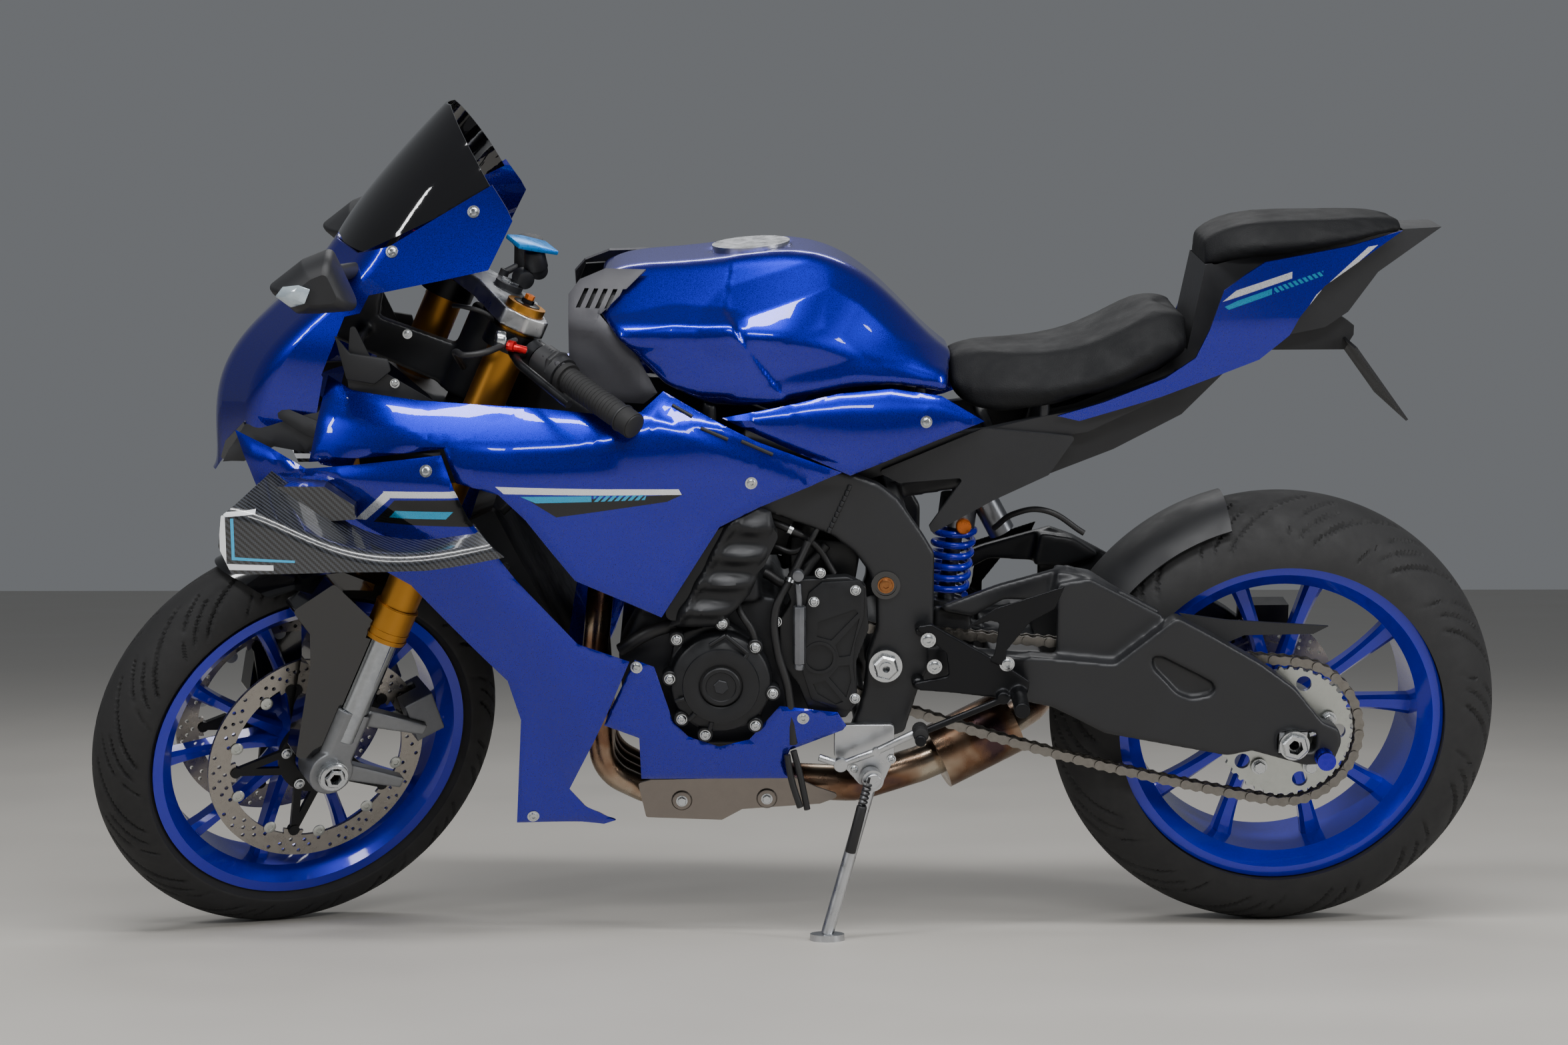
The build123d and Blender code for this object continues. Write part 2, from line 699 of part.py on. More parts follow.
def generator_cover():
    x, z = generator_xz
    outline = [(-794, 506), (-752, 478), (-725, 410), (-748, 357), (-818, 345), (-853, 369), (-870, 430), (-858, 488)]
    base = side_prism(outline, -150, -176, 14)
    dome = turned([(0, -176), (72, -176), (68, -194), (50, -203), (24, -206), (24, -210), (0, -210)], (x, 0, z))
    return base + dome


def sprocket_cover():
    outline = [(-712, 560), (-623, 566), (-597, 552), (-593, 490), (-610, 444), (-608, 384), (-625, 362), (-673, 367),
               (-690, 411), (-716, 444), (-716, 505), (-700, 530)]
    return side_prism(outline, -150, -170, 8)


def clutch_cover():
    return turned([(0, 150), (92, 150), (90, 172), (76, 186), (30, 190), (30, 194), (0, 194)], (-735, 0, 425))


def head_side_cover():
    outline = [(-880, 513), (-815, 516), (-775, 551), (-737, 590), (-718, 631), (-731, 654), (-756, 663), (-800, 641)]
    return side_prism(outline, -165, -200, 10)


@cache
def swingarm():
    """The arm pair: pivot tube, tapering front beams, deep side plates and the cross brace."""
    rear_outline = [(-376, 449), (-251, 436), (-167, 503), (-118, 476), (-48, 435), (2, 398), (43, 348), (65, 339),
                    (70, 320), (59, 288), (19, 286), (-56, 308), (-90, 301), (-262, 335), (-336, 374), (-376, 383)]
    brace_outline = [(-499, 503), (-411, 537), (-314, 564), (-281, 552), (-181, 497), (-215, 470), (-298, 511),
                     (-402, 517), (-447, 492)]
    pieces = None
    for side, y_in, y_out in ((-1, 132.0, 168.0), (1, 108.0, 146.0)):
        arm = side_prism(rear_outline, side * y_in, side * y_out, 8)
        if side < 0:
            slot = [(-202, 448), (-185, 446), (-115, 409), (-110, 398), (-118, 389), (-144, 385), (-162, 392),
                    (-197, 428)]
            arm -= side_prism(slot, -200, -y_out + 12, 5)
        beam = blade([
            [(-374, side * y_out, 385), (-374, side * y_in, 385), (-374, side * y_in, 446), (-374, side * y_out, 446)],
            [(-497, side * 110, 392), (-497, side * 80, 392), (-497, side * 80, 446), (-497, side * 110, 446)],
        ])
        front = box(-585, -496, side * 80, side * 110, 392, 446)
        brace = side_prism(brace_outline, side * 104, side * 120, 4)
        arm = arm + beam + front
        inner = side_prism([(-330, 545), (-285, 552), (-181, 497), (-215, 470), (-251, 438), (-330, 446)], side * y_in,
                           side * (y_in + 10), 4)
        arm = arm + inner
        post = side_prism([(-499, 503), (-447, 492), (-440, 440), (-499, 440)], side * 86, side * 104, 4)
        link = side_prism([(-330, 560), (-281, 552), (-240, 525), (-298, 508), (-340, 512)], side * 84,
                          side * y_in, 4)
        arm = arm + brace + post + link
        arm -= box(-20, 34, side * (y_in - 5), side * (y_out + 5), rear_axle.Z - 15, rear_axle.Z + 15)
        pieces = arm if pieces is None else pieces + arm
    pieces += across(*pivot_xz, 27, -112, 112)
    pieces += box(-420, -345, -110, 110, 398, 438)
    pieces += clevis([(-494, 455), (-486, 443), (-420, 400), (-395, 400), (-395, 436), (-464, 464), (-484, 467)], shock_low)
    pieces -= across(*pivot_xz, axle_r + bore_gap, -200, 200)
    return pieces


def pivot_shaft():
    shaft = across(*pivot_xz, axle_r, -plate_out - 14, plate_out + 14)
    for side in (-1, 1):
        shaft += across(*pivot_xz, 19, side * plate_out, side * (plate_out + 11))
    return shaft


def rear_axle_shaft():
    x, z = 0.0, rear_axle.Z
    shaft = across(x, z, axle_r, -rear_axle_half, 158)
    shaft += across(x, z, 19, -168, -rear_axle_half + 1)
    shaft += across(x, z, 19, 146, 156)
    shaft += across(x, z, 19, -132, -121)
    shaft += across(x, z, 19, 91, 108)
    shaft -= across(x, z, 7.0, -200, 200)
    return shaft


def paddock_spools():
    """Flanged pins under the arm's ends for a paddock stand's hooks."""
    spools = []
    for side, face in ((-1, 168.0), (1, 146.0)):
        spool = across(*spool_xz, spool_r, side * face, side * (face + spool_length))
        spool += across(*spool_xz, spool_r + 5, side * (face + spool_length), side * (face + spool_length + 5))
        spool += across(*spool_xz, spool_r + 5, side * face, side * (face + 4))
        spools.append(spool)
    return group(*spools)


def axle_blocks():
    """The chain adjuster blocks that sit in the arm's slots round the axle."""
    blocks = []
    for y0, y1 in ((-168, -132), (108, 146)):
        block = box(-19, 20, y0, y1, rear_axle.Z - 15, rear_axle.Z + 15)
        blocks.append(largest(block - across(0, rear_axle.Z, axle_r, -200, 200)))
    return group(*blocks)


def front_sprocket():
    tip = front_pitch_r - chain_half_h - seam
    blank = toothed_disc(front_sprocket_xz, front_teeth, tip, tip - 4, chain_y - 4, chain_y + 4)
    return blank + across(*front_sprocket_xz, 16, chain_y - 8, -98)


shock_low, shock_high = Vector(-478, 0, 455), Vector(-452, 0, 668)
shock_eye_half = 16.0
shock_bolt_r = 6.0
clevis_t = 8.0


def clevis(outline, eye):
    """Two cheeks either side of a shock eye, with the bolt that holds it."""
    cheek = side_prism(outline, shock_eye_half + seam, shock_eye_half + seam + clevis_t)
    bolt = across(eye.X, eye.Z, shock_bolt_r, -shock_eye_half - clevis_t - 6, shock_eye_half + clevis_t + 6)
    return cheek + mirrored(cheek) + bolt


def shock_absorber():
    low, high = shock_low, shock_high
    run = (high - low).normalized()
    body = rod(low, high, 12.0)
    body += rod(low + run * 14, low + run * 34, 30.0)
    body += rod(high - run * 72, high - run * 30, 27.0)
    for eye in (low, high):
        body += across(eye.X, eye.Z, 14, -shock_eye_half, shock_eye_half)
        body -= across(eye.X, eye.Z, shock_bolt_r, -shock_eye_half - 1, shock_eye_half + 1)
    pot = rod(Vector(-425, 0, 640), Vector(-395, 0, 585), 19.0)
    body += pot + rod(high - run * 40, Vector(-420, 0, 630), 9.0)
    return body


def shock_spring():
    """The coil, as one helix of round wire between its two seats."""
    low, high = shock_low, shock_high
    run = (high - low).normalized()
    start = low + run * 39.5
    height = (high - low).length - 72 - 39.5 - 5.5
    path = Helix(pitch=height / 6, height=height, radius=27.0)
    section = Plane(origin=path @ 0, z_dir=path % 0) * Circle(5.0)
    coil = sweep(section, path=path)
    return Plane(origin=start, z_dir=run) * coil


@cache
def exhaust_headers():
    pipes = None
    for y in (-78.0, -26.0, 26.0, 78.0):
        pipe = tube([(-911, y, 560), (-962, y, 545), (-975, y * 0.9, 420), (-965, y * 0.7, 250), (-900, y * 0.62, 215),
                     (-800, y * 0.5, 215)], 18.0, 60)
        pipes = pipe if pipes is None else pipes + pipe
    collector = blade([
        [(-815, -62, 195), (-815, 62, 195), (-815, 62, 235), (-815, -62, 235)],
        [(-700, -28, 188), (-700, 28, 188), (-700, 28, 240), (-700, -28, 240)],
    ])
    pipes += collector
    pipes += tube([(-710, 0, 214), (-600, 0, 208), (-510, 18, 230), (-476, 28, 241)], 26.0, 80)
    return largest(pipes - engine_block() - muffler())


@cache
def muffler():
    """The catalyser box under the arm and the short right-hand silencer."""
    can = rod((-482, 26, 238), (-372, 50, 286), 48.0)
    can += tube([(-380, 48, 282), (-338, 104, 288), (-302, 168, 300), (-262, 200, 352)], 23.0, 50)
    can += rod((-282, 194, 336), (-112, 214, 440), 40.0)
    can -= rod((-150, 210, 417), (-100, 216, 447), 30.0)
    return can


def exhaust_guard():
    outline = [(-915, 240), (-904, 189), (-796, 184), (-767, 200), (-656, 207), (-625, 219), (-661, 232), (-695, 248),
               (-896, 245)]
    guard = side_prism(outline, -84, -80, 4)
    for x in (-870, -780):
        guard += across(x, 215, 7, -80, -20) - exhaust_headers()
    return largest(guard)


def radiator():
    core = side_prism([(-1134, 656), (-1104, 668), (-1008, 470), (-1038, 458)], -176, 176)
    tank_l = side_prism([(-1140, 652), (-1102, 670), (-1006, 472), (-1044, 452)], -196, -176, 6)
    stay = rod((-1095, -150, 655), (-985, -112, 752), 6.0) - main_frame()
    stay += rod((-1022, -130, 466), (-920, -130, 455), 6.0) - engine_block()
    tank_l += largest(stay)
    return core + tank_l + mirrored(tank_l)


def side_stand_bracket():
    bracket = side_prism([(-640, 350), (-556, 350), (-556, 300), (-572, 262), (-604, 262), (-640, 305)],
                         -plate_out - 12, -plate_out, 6)
    pivot = Vector(*stand_pivot)
    end = stand_eye_half + 1
    bracket += rod(pivot - stand_axis * 20, pivot + stand_axis * (end + 1), stand_pin_r)
    bracket += rod(pivot + stand_axis * end, pivot + stand_axis * (end + 4), stand_pin_r + 5)
    return bracket


def floor_normal():
    """The floor's upward direction, seen from the upright frame."""
    return Vector(0, 0, 1).rotate(Axis.X, -lean).rotate(Axis.Y, -pitch)


def side_stand():
    """The stand as it is down: pivot eye, slim leg and a foot pad flat on the floor."""
    pivot, foot = Vector(*stand_pivot), Vector(*stand_foot)
    up = floor_normal()
    foot -= up * (foot.rotate(Axis.Y, pitch).rotate(Axis.X, lean).Z - tyre_heights(pitch)[0])
    along = (foot - pivot).normalized()
    stand = rod(pivot - stand_axis * stand_eye_half, pivot + stand_axis * stand_eye_half, 15.0)
    stand += rod(pivot + along * 8, foot + up * 9, 9.0)
    stand += rod(foot, foot + up * 9, 24.0)
    stand -= rod(pivot - stand_axis * 40, pivot + stand_axis * 40, stand_pin_r + bore_gap)
    return largest(stand)


# ---- bodywork --------------------------------------------------------------
fairing_levels = (880.0, 770.0, 640.0, 470.0, 190.0)
# x, then the half widths at those levels
fairing_sections = (
    (-1460.0, (70.0, 128.0, 150.0, 130.0, 110.0)),
    (-1300.0, (165.0, 205.0, 222.0, 205.0, 170.0)),
    (-1150.0, (188.0, 232.0, 246.0, 228.0, 178.0)),
    (-1000.0, (190.0, 232.0, 240.0, 216.0, 160.0)),
    (-850.0, (180.0, 214.0, 216.0, 206.0, 160.0)),
    (-600.0, (150.0, 176.0, 184.0, 194.0, 160.0)),
)


@cache
def fairing_skin():
    """The left side's body surface as a sheet."""
    stations = []
    for x, halves in fairing_sections:
        run = [(-half, z) for half, z in zip(halves, fairing_levels)]
        stations.append((x, run))
    return shell_along_x(stations, panel_t, 90.0)


upper_fairing_outline = [(-1323, 846), (-1289, 830), (-1195, 819), (-1054, 811), (-955, 802), (-902, 805),
                         (-872, 828), (-748, 763), (-632, 715), (-743, 673), (-798, 647), (-877, 522), (-992, 580),
                         (-1056, 667), (-1091, 702), (-1147, 718), (-1163, 763), (-1347, 737)]
lower_fairing_outline = [(-1163, 760), (-1147, 716), (-1128, 676), (-1068, 591), (-988, 494), (-919, 466),
                         (-953, 385), (-1008, 264), (-987, 237), (-945, 217), (-961, 210), (-1082, 215),
                         (-1071, 375), (-1087, 435), (-1212, 576), (-1255, 600), (-1383, 646), (-1420, 700),
                         (-1451, 772), (-1400, 755), (-1349, 733)]
belly_outline = [(-949, 386), (-914, 460), (-888, 449), (-863, 366), (-842, 344), (-800, 328), (-758, 338),
                 (-716, 387), (-636, 376), (-624, 356), (-629, 349), (-702, 320), (-709, 300), (-697, 276),
                 (-908, 278), (-910, 342), (-958, 362)]


def fairing_panel(outline):
    panel = fairing_skin() & side_prism(outline, -300, -60)
    return both(largest(panel))


@cache
def upper_fairings():
    return fairing_panel(upper_fairing_outline)


@cache
def lower_side_fairings():
    return fairing_panel(lower_fairing_outline)


@cache
def belly_panels():
    """The belly sides; the right one is cut back round the clutch cover."""
    pair = fairing_panel(belly_outline)
    return group(*[largest(p - across(-735, 425, 100, 100, 260)) for p in pair.solids()])


def panel_stays():
    """Plain spacers that carry the side panels off the frame, radiator, engine and subframe."""
    spots = (
        (-850.0, 735.0, 156.0, 225.0, upper_fairings(), main_frame()),
        (-1088.0, 590.0, 196.0, 255.0, lower_side_fairings(), None),
        (-820.0, 327.0, 150.0, 205.0, belly_panels(), None),
        (-600.0, 728.0, rail_out, 175.0, tank_side_panels(), None),
        (-230.0, 803.0, rail_out, 150.0, tail_cowls(), None),
        (0.0, 950.0, 40.0, 125.0, tail_cowls(), tail_undertray()),
    )
    stays = []
    for x, z, inner, outer, panel, carrier in spots:
        stay = across(x, z, 6.0, -outer, -inner) - panel
        if carrier is not None:
            stay -= carrier
        pieces = sorted(stay.solids(), key=lambda s: s.center().Y)
        stays.append(pieces[-1])
    return both(group(*stays))


def nose_run(front, rear, half):
    """A U-shaped run of (x, y) points round the nose, from the left rear to the right rear."""
    return [(rear, -half), (front + 62, -half * 0.80), (front, -half * 0.30), (front, half * 0.30),
            (front + 62, half * 0.80), (rear, half)]


# z, foremost x, rear x, half width
nose_sections = (
    (690.0, -1503.0, -1380.0, 92.0),
    (775.0, -1491.0, -1330.0, 158.0),
    (850.0, -1470.0, -1290.0, 178.0),
    (942.0, -1386.0, -1180.0, 186.0),
    (1010.0, -1322.0, -1080.0, 172.0),
    (1105.0, -1245.0, -1030.0, 150.0),
)
nose_outline = [(-1530, 686), (-1530, 1040), (-1330, 1040), (-1316, 1018), (-1281, 1007), (-1235, 1020),
                (-1097, 1101), (-1077, 1070), (-1070, 1055), (-1102, 993), (-1163, 979), (-1263, 957),
                (-1275, 934), (-1296, 929), (-1329, 851), (-1327, 848), (-1351, 739), (-1392, 776), (-1450, 764),
                (-1447, 724), (-1478, 722), (-1500, 690)]


@cache
def nose_cowl():
    stations = [(z, nose_run(front, rear, half)) for z, front, rear, half in nose_sections]
    shell = shell_along_z(stations, panel_t, 60.0)
    return largest(shell & side_prism(nose_outline, -300, 300))


# z, foremost x, rear x, half width
screen_sections = (
    (990.0, -1334.0, -1205.0, 128.0),
    (1060.0, -1292.0, -1120.0, 134.0),
    (1130.0, -1232.0, -1085.0, 118.0),
    (1196.0, -1168.0, -1100.0, 78.0),
)
screen_outline = [(-1173, 1191), (-1163, 1204), (-1119, 1131), (-1098, 1093), (-1239, 1025), (-1289, 1000),
                  (-1330, 1000), (-1360, 1040), (-1250, 1200)]


def windscreen():
    faces = []
    for z, front, rear, half in screen_sections:
        edges = []
        for t, back in ((0.0, False), (screen_t, True)):
            left, middle, right = (rear, -half + t, z), (front + t, 0, z), (rear, half - t, z)
            edges.append(ThreePointArc(right, middle, left) if back else ThreePointArc(left, middle, right))
        caps = [Line(edges[0] @ 1, edges[1] @ 0), Line(edges[1] @ 1, edges[0] @ 0)]
        faces.append(Face(Wire([edges[0], caps[0], edges[1], caps[1]])))
    return largest((loft(faces) & side_prism(screen_outline, -300, 300)) - nose_cowl())


def arch(half_top, half_side, half_low, z_top, z_side, z_low):
    """A closed (y, z) outline with a flat base, for tanks and seats."""
    left = [(-half_low, z_low), (-half_side, z_side), (-half_top, z_top)]
    return left + [(-y, z) for y, z in reversed(left)]


# x, half widths at the crown, side and base, then heights of the crown, side and base
tank_sections = (
    (-958.0, 60.0, 150.0, 142.0, 966.0, 905.0, 802.0),
    (-870.0, 78.0, 178.0, 168.0, 986.0, 905.0, 802.0),
    (-760.0, 84.0, 186.0, 170.0, 997.0, 900.0, 802.0),
    (-690.0, 80.0, 176.0, 160.0, 1000.0, 890.0, 804.0),
    (-620.0, 68.0, 150.0, 140.0, 980.0, 872.0, 806.0),
    (-545.0, 52.0, 126.0, 120.0, 920.0, 848.0, 800.0),
    (-466.0, 40.0, 106.0, 104.0, 850.0, 822.0, 790.0),
)
tank_outline = [(-965, 1010), (-958, 925), (-870, 835), (-800, 800), (-703, 808), (-636, 820), (-562, 823),
                (-493, 811), (-484, 812), (-480, 838), (-462, 872), (-460, 1010)]


cap_foot = Vector(-750, 0, 988)
cap_up = Vector(-0.07, 0, 1).normalized()


@cache
def fuel_tank():
    shape = body_along_x([(s[0], arch(*s[1:])) for s in tank_sections], 34.0)
    shape &= side_prism(tank_outline, -250, 250)
    return largest(shape - rod(cap_foot, cap_foot + cap_up * 60, 54.0))


def filler_cap():
    return rod(cap_foot, cap_foot + cap_up * 14, 54.0)


@cache
def tank_side_panels():
    outline = [(-793, 789), (-703, 804), (-636, 816), (-562, 819), (-493, 807), (-434, 772), (-619, 705)]
    stations = []
    for x, low, high in ((-810.0, 176.0, 170.0), (-700.0, 170.0, 162.0), (-600.0, 158.0, 142.0),
                         (-500.0, 136.0, 122.0), (-420.0, 124.0, 114.0)):
        stations.append((x, [(-high, 840.0), (-(high + low) / 2 - 6, 770.0), (-low, 690.0)]))
    skin = shell_along_x(stations, panel_t + 2, 60.0)
    return both(largest(skin & side_prism(outline, -250, -60)))


def airbox_trim():
    """The dark collar ahead of the tank, with five slots on each side."""
    outline = [(-1000, 948), (-985, 966), (-965, 966), (-963, 917), (-874, 832), (-899, 812), (-963, 812),
               (-1000, 850)]
    wall = blade([
        [(-1010, -122, 700), (-1010, -110, 700), (-1010, -110, 1000), (-1010, -122, 1000)],
        [(-860, -168, 700), (-860, -156, 700), (-860, -156, 1000), (-860, -168, 1000)],
    ])
    wall &= side_prism(outline, -200, 0, 6)
    for i in range(5):
        x = -992 + i * 8.0
        slot = [(x, 926), (x + 4, 926), (x + 14, 952), (x + 10, 952)]
        wall -= side_prism(slot, -200, 0)
    bridge = side_prism([(-1000, 850), (-1000, 905), (-930, 905), (-880, 850)], -116, 116) - fuel_tank()
    return wall + mirrored(wall) + bridge


# x, half widths at the crown, side and base, then heights of the crown, side and base
rider_seat_sections = (
    (-477.0, 34.0, 70.0, 66.0, 852.0, 822.0, 806.0),
    (-425.0, 62.0, 104.0, 98.0, 853.0, 812.0, 780.0),
    (-350.0, 84.0, 128.0, 118.0, 855.0, 815.0, 791.0),
    (-270.0, 96.0, 142.0, 128.0, 876.0, 832.0, 812.0),
    (-195.0, 88.0, 132.0, 118.0, 912.0, 868.0, 842.0),
    (-153.0, 76.0, 110.0, 104.0, 912.0, 884.0, 866.0),
)
pillion_seat_sections = (
    (-128.0, 44.0, 62.0, 60.0, 1006.0, 985.0, 972.0),
    (-90.0, 54.0, 84.0, 78.0, 1026.0, 1000.0, 984.0),
    (0.0, 60.0, 90.0, 84.0, 1035.0, 1010.0, 996.0),
    (90.0, 50.0, 76.0, 72.0, 1037.0, 1020.0, 1012.0),
    (148.0, 28.0, 46.0, 44.0, 1032.0, 1026.0, 1019.0),
)


@cache
def rider_seat():
    shape = body_along_x([(s[0], arch(*s[1:])) for s in rider_seat_sections], 16.0)
    nose = [(-540, 780), (-483.6, 790), (-479.6, 838), (-461.6, 872), (-458, 920), (-540, 920)]
    return largest(shape - side_prism(nose, -200, 200))


@cache
def pillion_seat():
    return body_along_x([(s[0], arch(*s[1:])) for s in pillion_seat_sections], 7.0)


tail_cowl_outline = [(-334, 779), (-304, 772), (-192, 805), (-58, 854), (-17, 887), (-4, 911), (31, 953),
                     (141, 1024), (66, 1006), (-54, 988), (-81, 972), (-111, 951), (-130, 897), (-147, 859),
                     (-188, 831), (-272, 798)]
tail_tray_outline = [(-338, 782), (-380, 690), (-338, 690), (-250, 722), (-155, 769), (-76, 847), (-5, 878),
                     (44, 887), (76, 908), (116, 963), (203, 1024), (148, 1022), (-45, 994), (-128, 978),
                     (-150, 860), (-190, 832), (-306, 788)]


@cache
def tail_cowls():
    stations = []
    for x, top, middle, low in ((-345.0, 130.0, 134.0, 122.0), (-200.0, 128.0, 134.0, 120.0),
                                (-60.0, 108.0, 120.0, 104.0), (80.0, 82.0, 92.0, 82.0), (215.0, 46.0, 56.0, 48.0)):
        stations.append((x, [(-top, 1050.0), (-middle, 900.0), (-low, 760.0)]))
    skin = shell_along_x(stations, panel_t, 120.0)
    return both(largest(skin & side_prism(tail_cowl_outline, -250, -30)))


@cache
def tail_undertray():
    """The black tail body between the cowls, narrowing to the tail tip."""
    body = side_prism(tail_tray_outline, -120, 120)
    taper = blade([
        [(-400, -94, 600), (-400, 94, 600), (-400, 94, 1100), (-400, -94, 1100)],
        [(220, -34, 600), (220, 34, 600), (220, 34, 1100), (220, -34, 1100)],
    ])
    return largest((body & taper) - subframe() - Pos(0, 0, -seam) * pillion_seat())


def subframe_covers():
    outline = [(-580, 701), (-436, 761), (-307, 749), (-344, 695), (-421, 659), (-504, 613), (-508, 623),
               (-460, 692), (-550, 685)]
    return both(side_prism(outline, -rail_out, -rail_out - 8, 4))


def plate_bracket():
    arm = side_prism([(-40, 850), (-40, 900), (60, 905), (91, 884), (91, 871), (79, 850)], -22, 22) - tail_undertray()
    arm = max(arm.solids(), key=lambda s: -s.center().Z)
    plate = blade([
        [(76, -100, 866), (79, -100, 868), (79, 100, 868), (76, 100, 866)],
        [(152, -100, 764), (155, -100, 766), (155, 100, 766), (152, 100, 764)],
    ])
    return arm + plate


def winglets():
    outline = [(-1446, 695), (-1451, 654), (-1435, 618), (-1304, 619), (-1184, 616), (-1154, 618), (-1083, 625),
               (-1127, 667), (-1223, 647), (-1288, 662), (-1356, 710), (-1390, 736)]
    stations = []
    for x, y_in, y_out, z_in, z_out, z_low in (
        (-1455.0, 262.0, 322.0, 742.0, 700.0, 612.0),
        (-1390.0, 236.0, 326.0, 738.0, 690.0, 612.0),
        (-1290.0, 240.0, 322.0, 664.0, 650.0, 612.0),
        (-1180.0, 250.0, 306.0, 650.0, 636.0, 610.0),
        (-1080.0, 252.0, 274.0, 668.0, 640.0, 612.0),
    ):
        stations.append((x, [(-y_in, z_in), (-y_out, z_out), (-y_out - 4, z_low)]))
    wing = shell_along_x(stations, 3.0, 18.0)
    wing = largest(wing & side_prism(outline, -400, -200))
    for mount in (
        [(-1400, 720), (-1319, 719), (-1280, 693), (-1280, 674), (-1316, 672), (-1351, 698)],
        [(-1144, 634), (-1108, 649), (-1066, 600), (-1084, 590), (-1140, 608)],
    ):
        wing += side_prism(mount, -262, -200) - lower_side_fairings()
    return both(max(wing.solids(), key=lambda s: -s.center().Y))


def mirrors():
    outline = [(-1377, 990), (-1335, 1022), (-1297, 1037), (-1285, 1011), (-1264, 961), (-1313, 957), (-1343, 957),
               (-1372, 982)]
    cx, cz = -1318.0, 992.0
    sections = []
    for y, size, shift in ((-176.0, 0.30, 0.0), (-210.0, 0.72, 0.0), (-262.0, 1.0, 0.0), (-318.0, 0.86, 6.0),
                           (-334.0, 0.5, 10.0)):
        sections.append([(cx + shift + (x - cx) * size, y, cz + (z - cz) * size) for x, z in outline])
    stalk = rod((-1316, -190, 990), (-1280, -122, 985), 11.0)
    return both(largest(blade(sections, 8.0) + stalk - nose_cowl()))


def headlamps():
    """The lamp bar behind the intake edges."""
    outline = [(-1478, 724), (-1448, 726), (-1451, 762), (-1404, 786), (-1420, 800), (-1470, 750)]
    lamp = side_prism(outline, -118, -84, 4)
    for step in (-seam, seam):
        lamp -= Pos(step, 0, 0) * nose_cowl()
    return both(largest(lamp))


def dash():
    return blade([
        [(-1262, -80, 985), (-1262, 80, 985), (-1252, 80, 985), (-1252, -80, 985)],
        [(-1222, -80, 1052), (-1222, 80, 1052), (-1212, 80, 1052), (-1212, -80, 1052)],
    ])


def cockpit_panels():
    outline = [(-1288, 926), (-1296, 850), (-1280, 700), (-1150, 700), (-1060, 790), (-1180, 812), (-1258, 860)]
    return both(side_prism(outline, -cockpit_in - 4, -cockpit_in, 4))


def hugger():
    shell = tyre_cover(rear_axle, rear_tyre_r, rear_crown_r, 9.0, 3.5, 50)
    shell &= side_prism([(-330, 560), (-340, 640), (-110, 720), (-88, 690), (-80, 600), (-150, 480), (-300, 470)],
                        -150, 150)
    tab = across(-230, 508.5, 8, -104, -79.5)
    return largest(shell + tab + mirrored(tab))


def chain_guard():
    outline = [(-160, 501), (-95, 491), (49, 481), (28, 470), (-68, 469), (-100, 455), (-130, 470)]
    return max((side_prism(outline, -140, -135) - swingarm()).solids(), key=lambda s: s.center().Z)


def rearset(side):
    outline = [(-532, 496), (-508, 500), (-406, 441), (-371, 417), (-373, 400), (-392, 390), (-476, 401), (-523, 405),
               (-534, 415), (-482, 425), (-486, 458)]
    plate = side_prism(outline, -181, -172, 4)
    for x, z in ((-520.0, 488.0), (-524.0, 412.0)):
        plate += across(x, z, 9, -plate_out, -172)
    plate += rod((-386, -176, 400), (-390, -268, 402), 11.0)
    plate += side_prism([(-467, 492), (-421, 523), (-325, 554), (-339, 521), (-373, 502), (-404, 462), (-404, 438),
                         (-425, 448), (-420, 462), (-415, 502), (-427, 505)], -184, -181)
    return plate if side < 0 else mirrored(plate)


def gear_lever():
    lever = rod((-405, -190, 396), (-524, -190, 346), 5.0)
    lever += rod((-524, -186, 346), (-524, -226, 346), 8.0)
    lever += across(-408, 397, 9, -196, -181)
    return lever


def rear_caliper():
    """The rear caliper over its disc, on a plate against the arm's inner face."""
    body = box(-34, 34, 64, 108, 92, 134)
    body -= box(-60, 60, 78.5, 94.5, 60, 118)
    body += box(-40, 0, 98, 108, 52, 100)
    return Pos(*rear_axle) * body


# ---- the side stand's hinge ------------------------------------------------
stand_leg = Vector(*stand_foot) - Vector(*stand_pivot)
stand_folded = Vector(228, -4, -62).normalized() * stand_leg.length
swing_line = (stand_leg - stand_folded).normalized()
stand_axis = (Vector(0, -1, 0) - swing_line * Vector(0, -1, 0).dot(swing_line)).normalized()


# ---- the bike put together -------------------------------------------------
front_rim_hub_r = 37.0


def front_wheel_nodes():
    carrier_out = disc_inner_r - 8
    discs = [brake_disc(front_axle, side * disc_y, disc_outer_r, disc_inner_r, spoke_pairs) for side in (-1, 1)]
    carriers = [disc_carrier(front_axle, side * disc_y, carrier_out, 33, 48, spoke_pairs, side * 58) for side in (-1, 1)]
    return {
        "front_tyre": tyre(front_axle, front_tyre_r, front_crown_r, front_rim_half),
        "front_rim": rim(front_axle, front_rim_half, front_hub_half, front_rim_hub_r, axle_r + bore_gap, 20.0),
        "front_brake_discs": group(*discs),
        "disc_carriers": group(*carriers),
    }


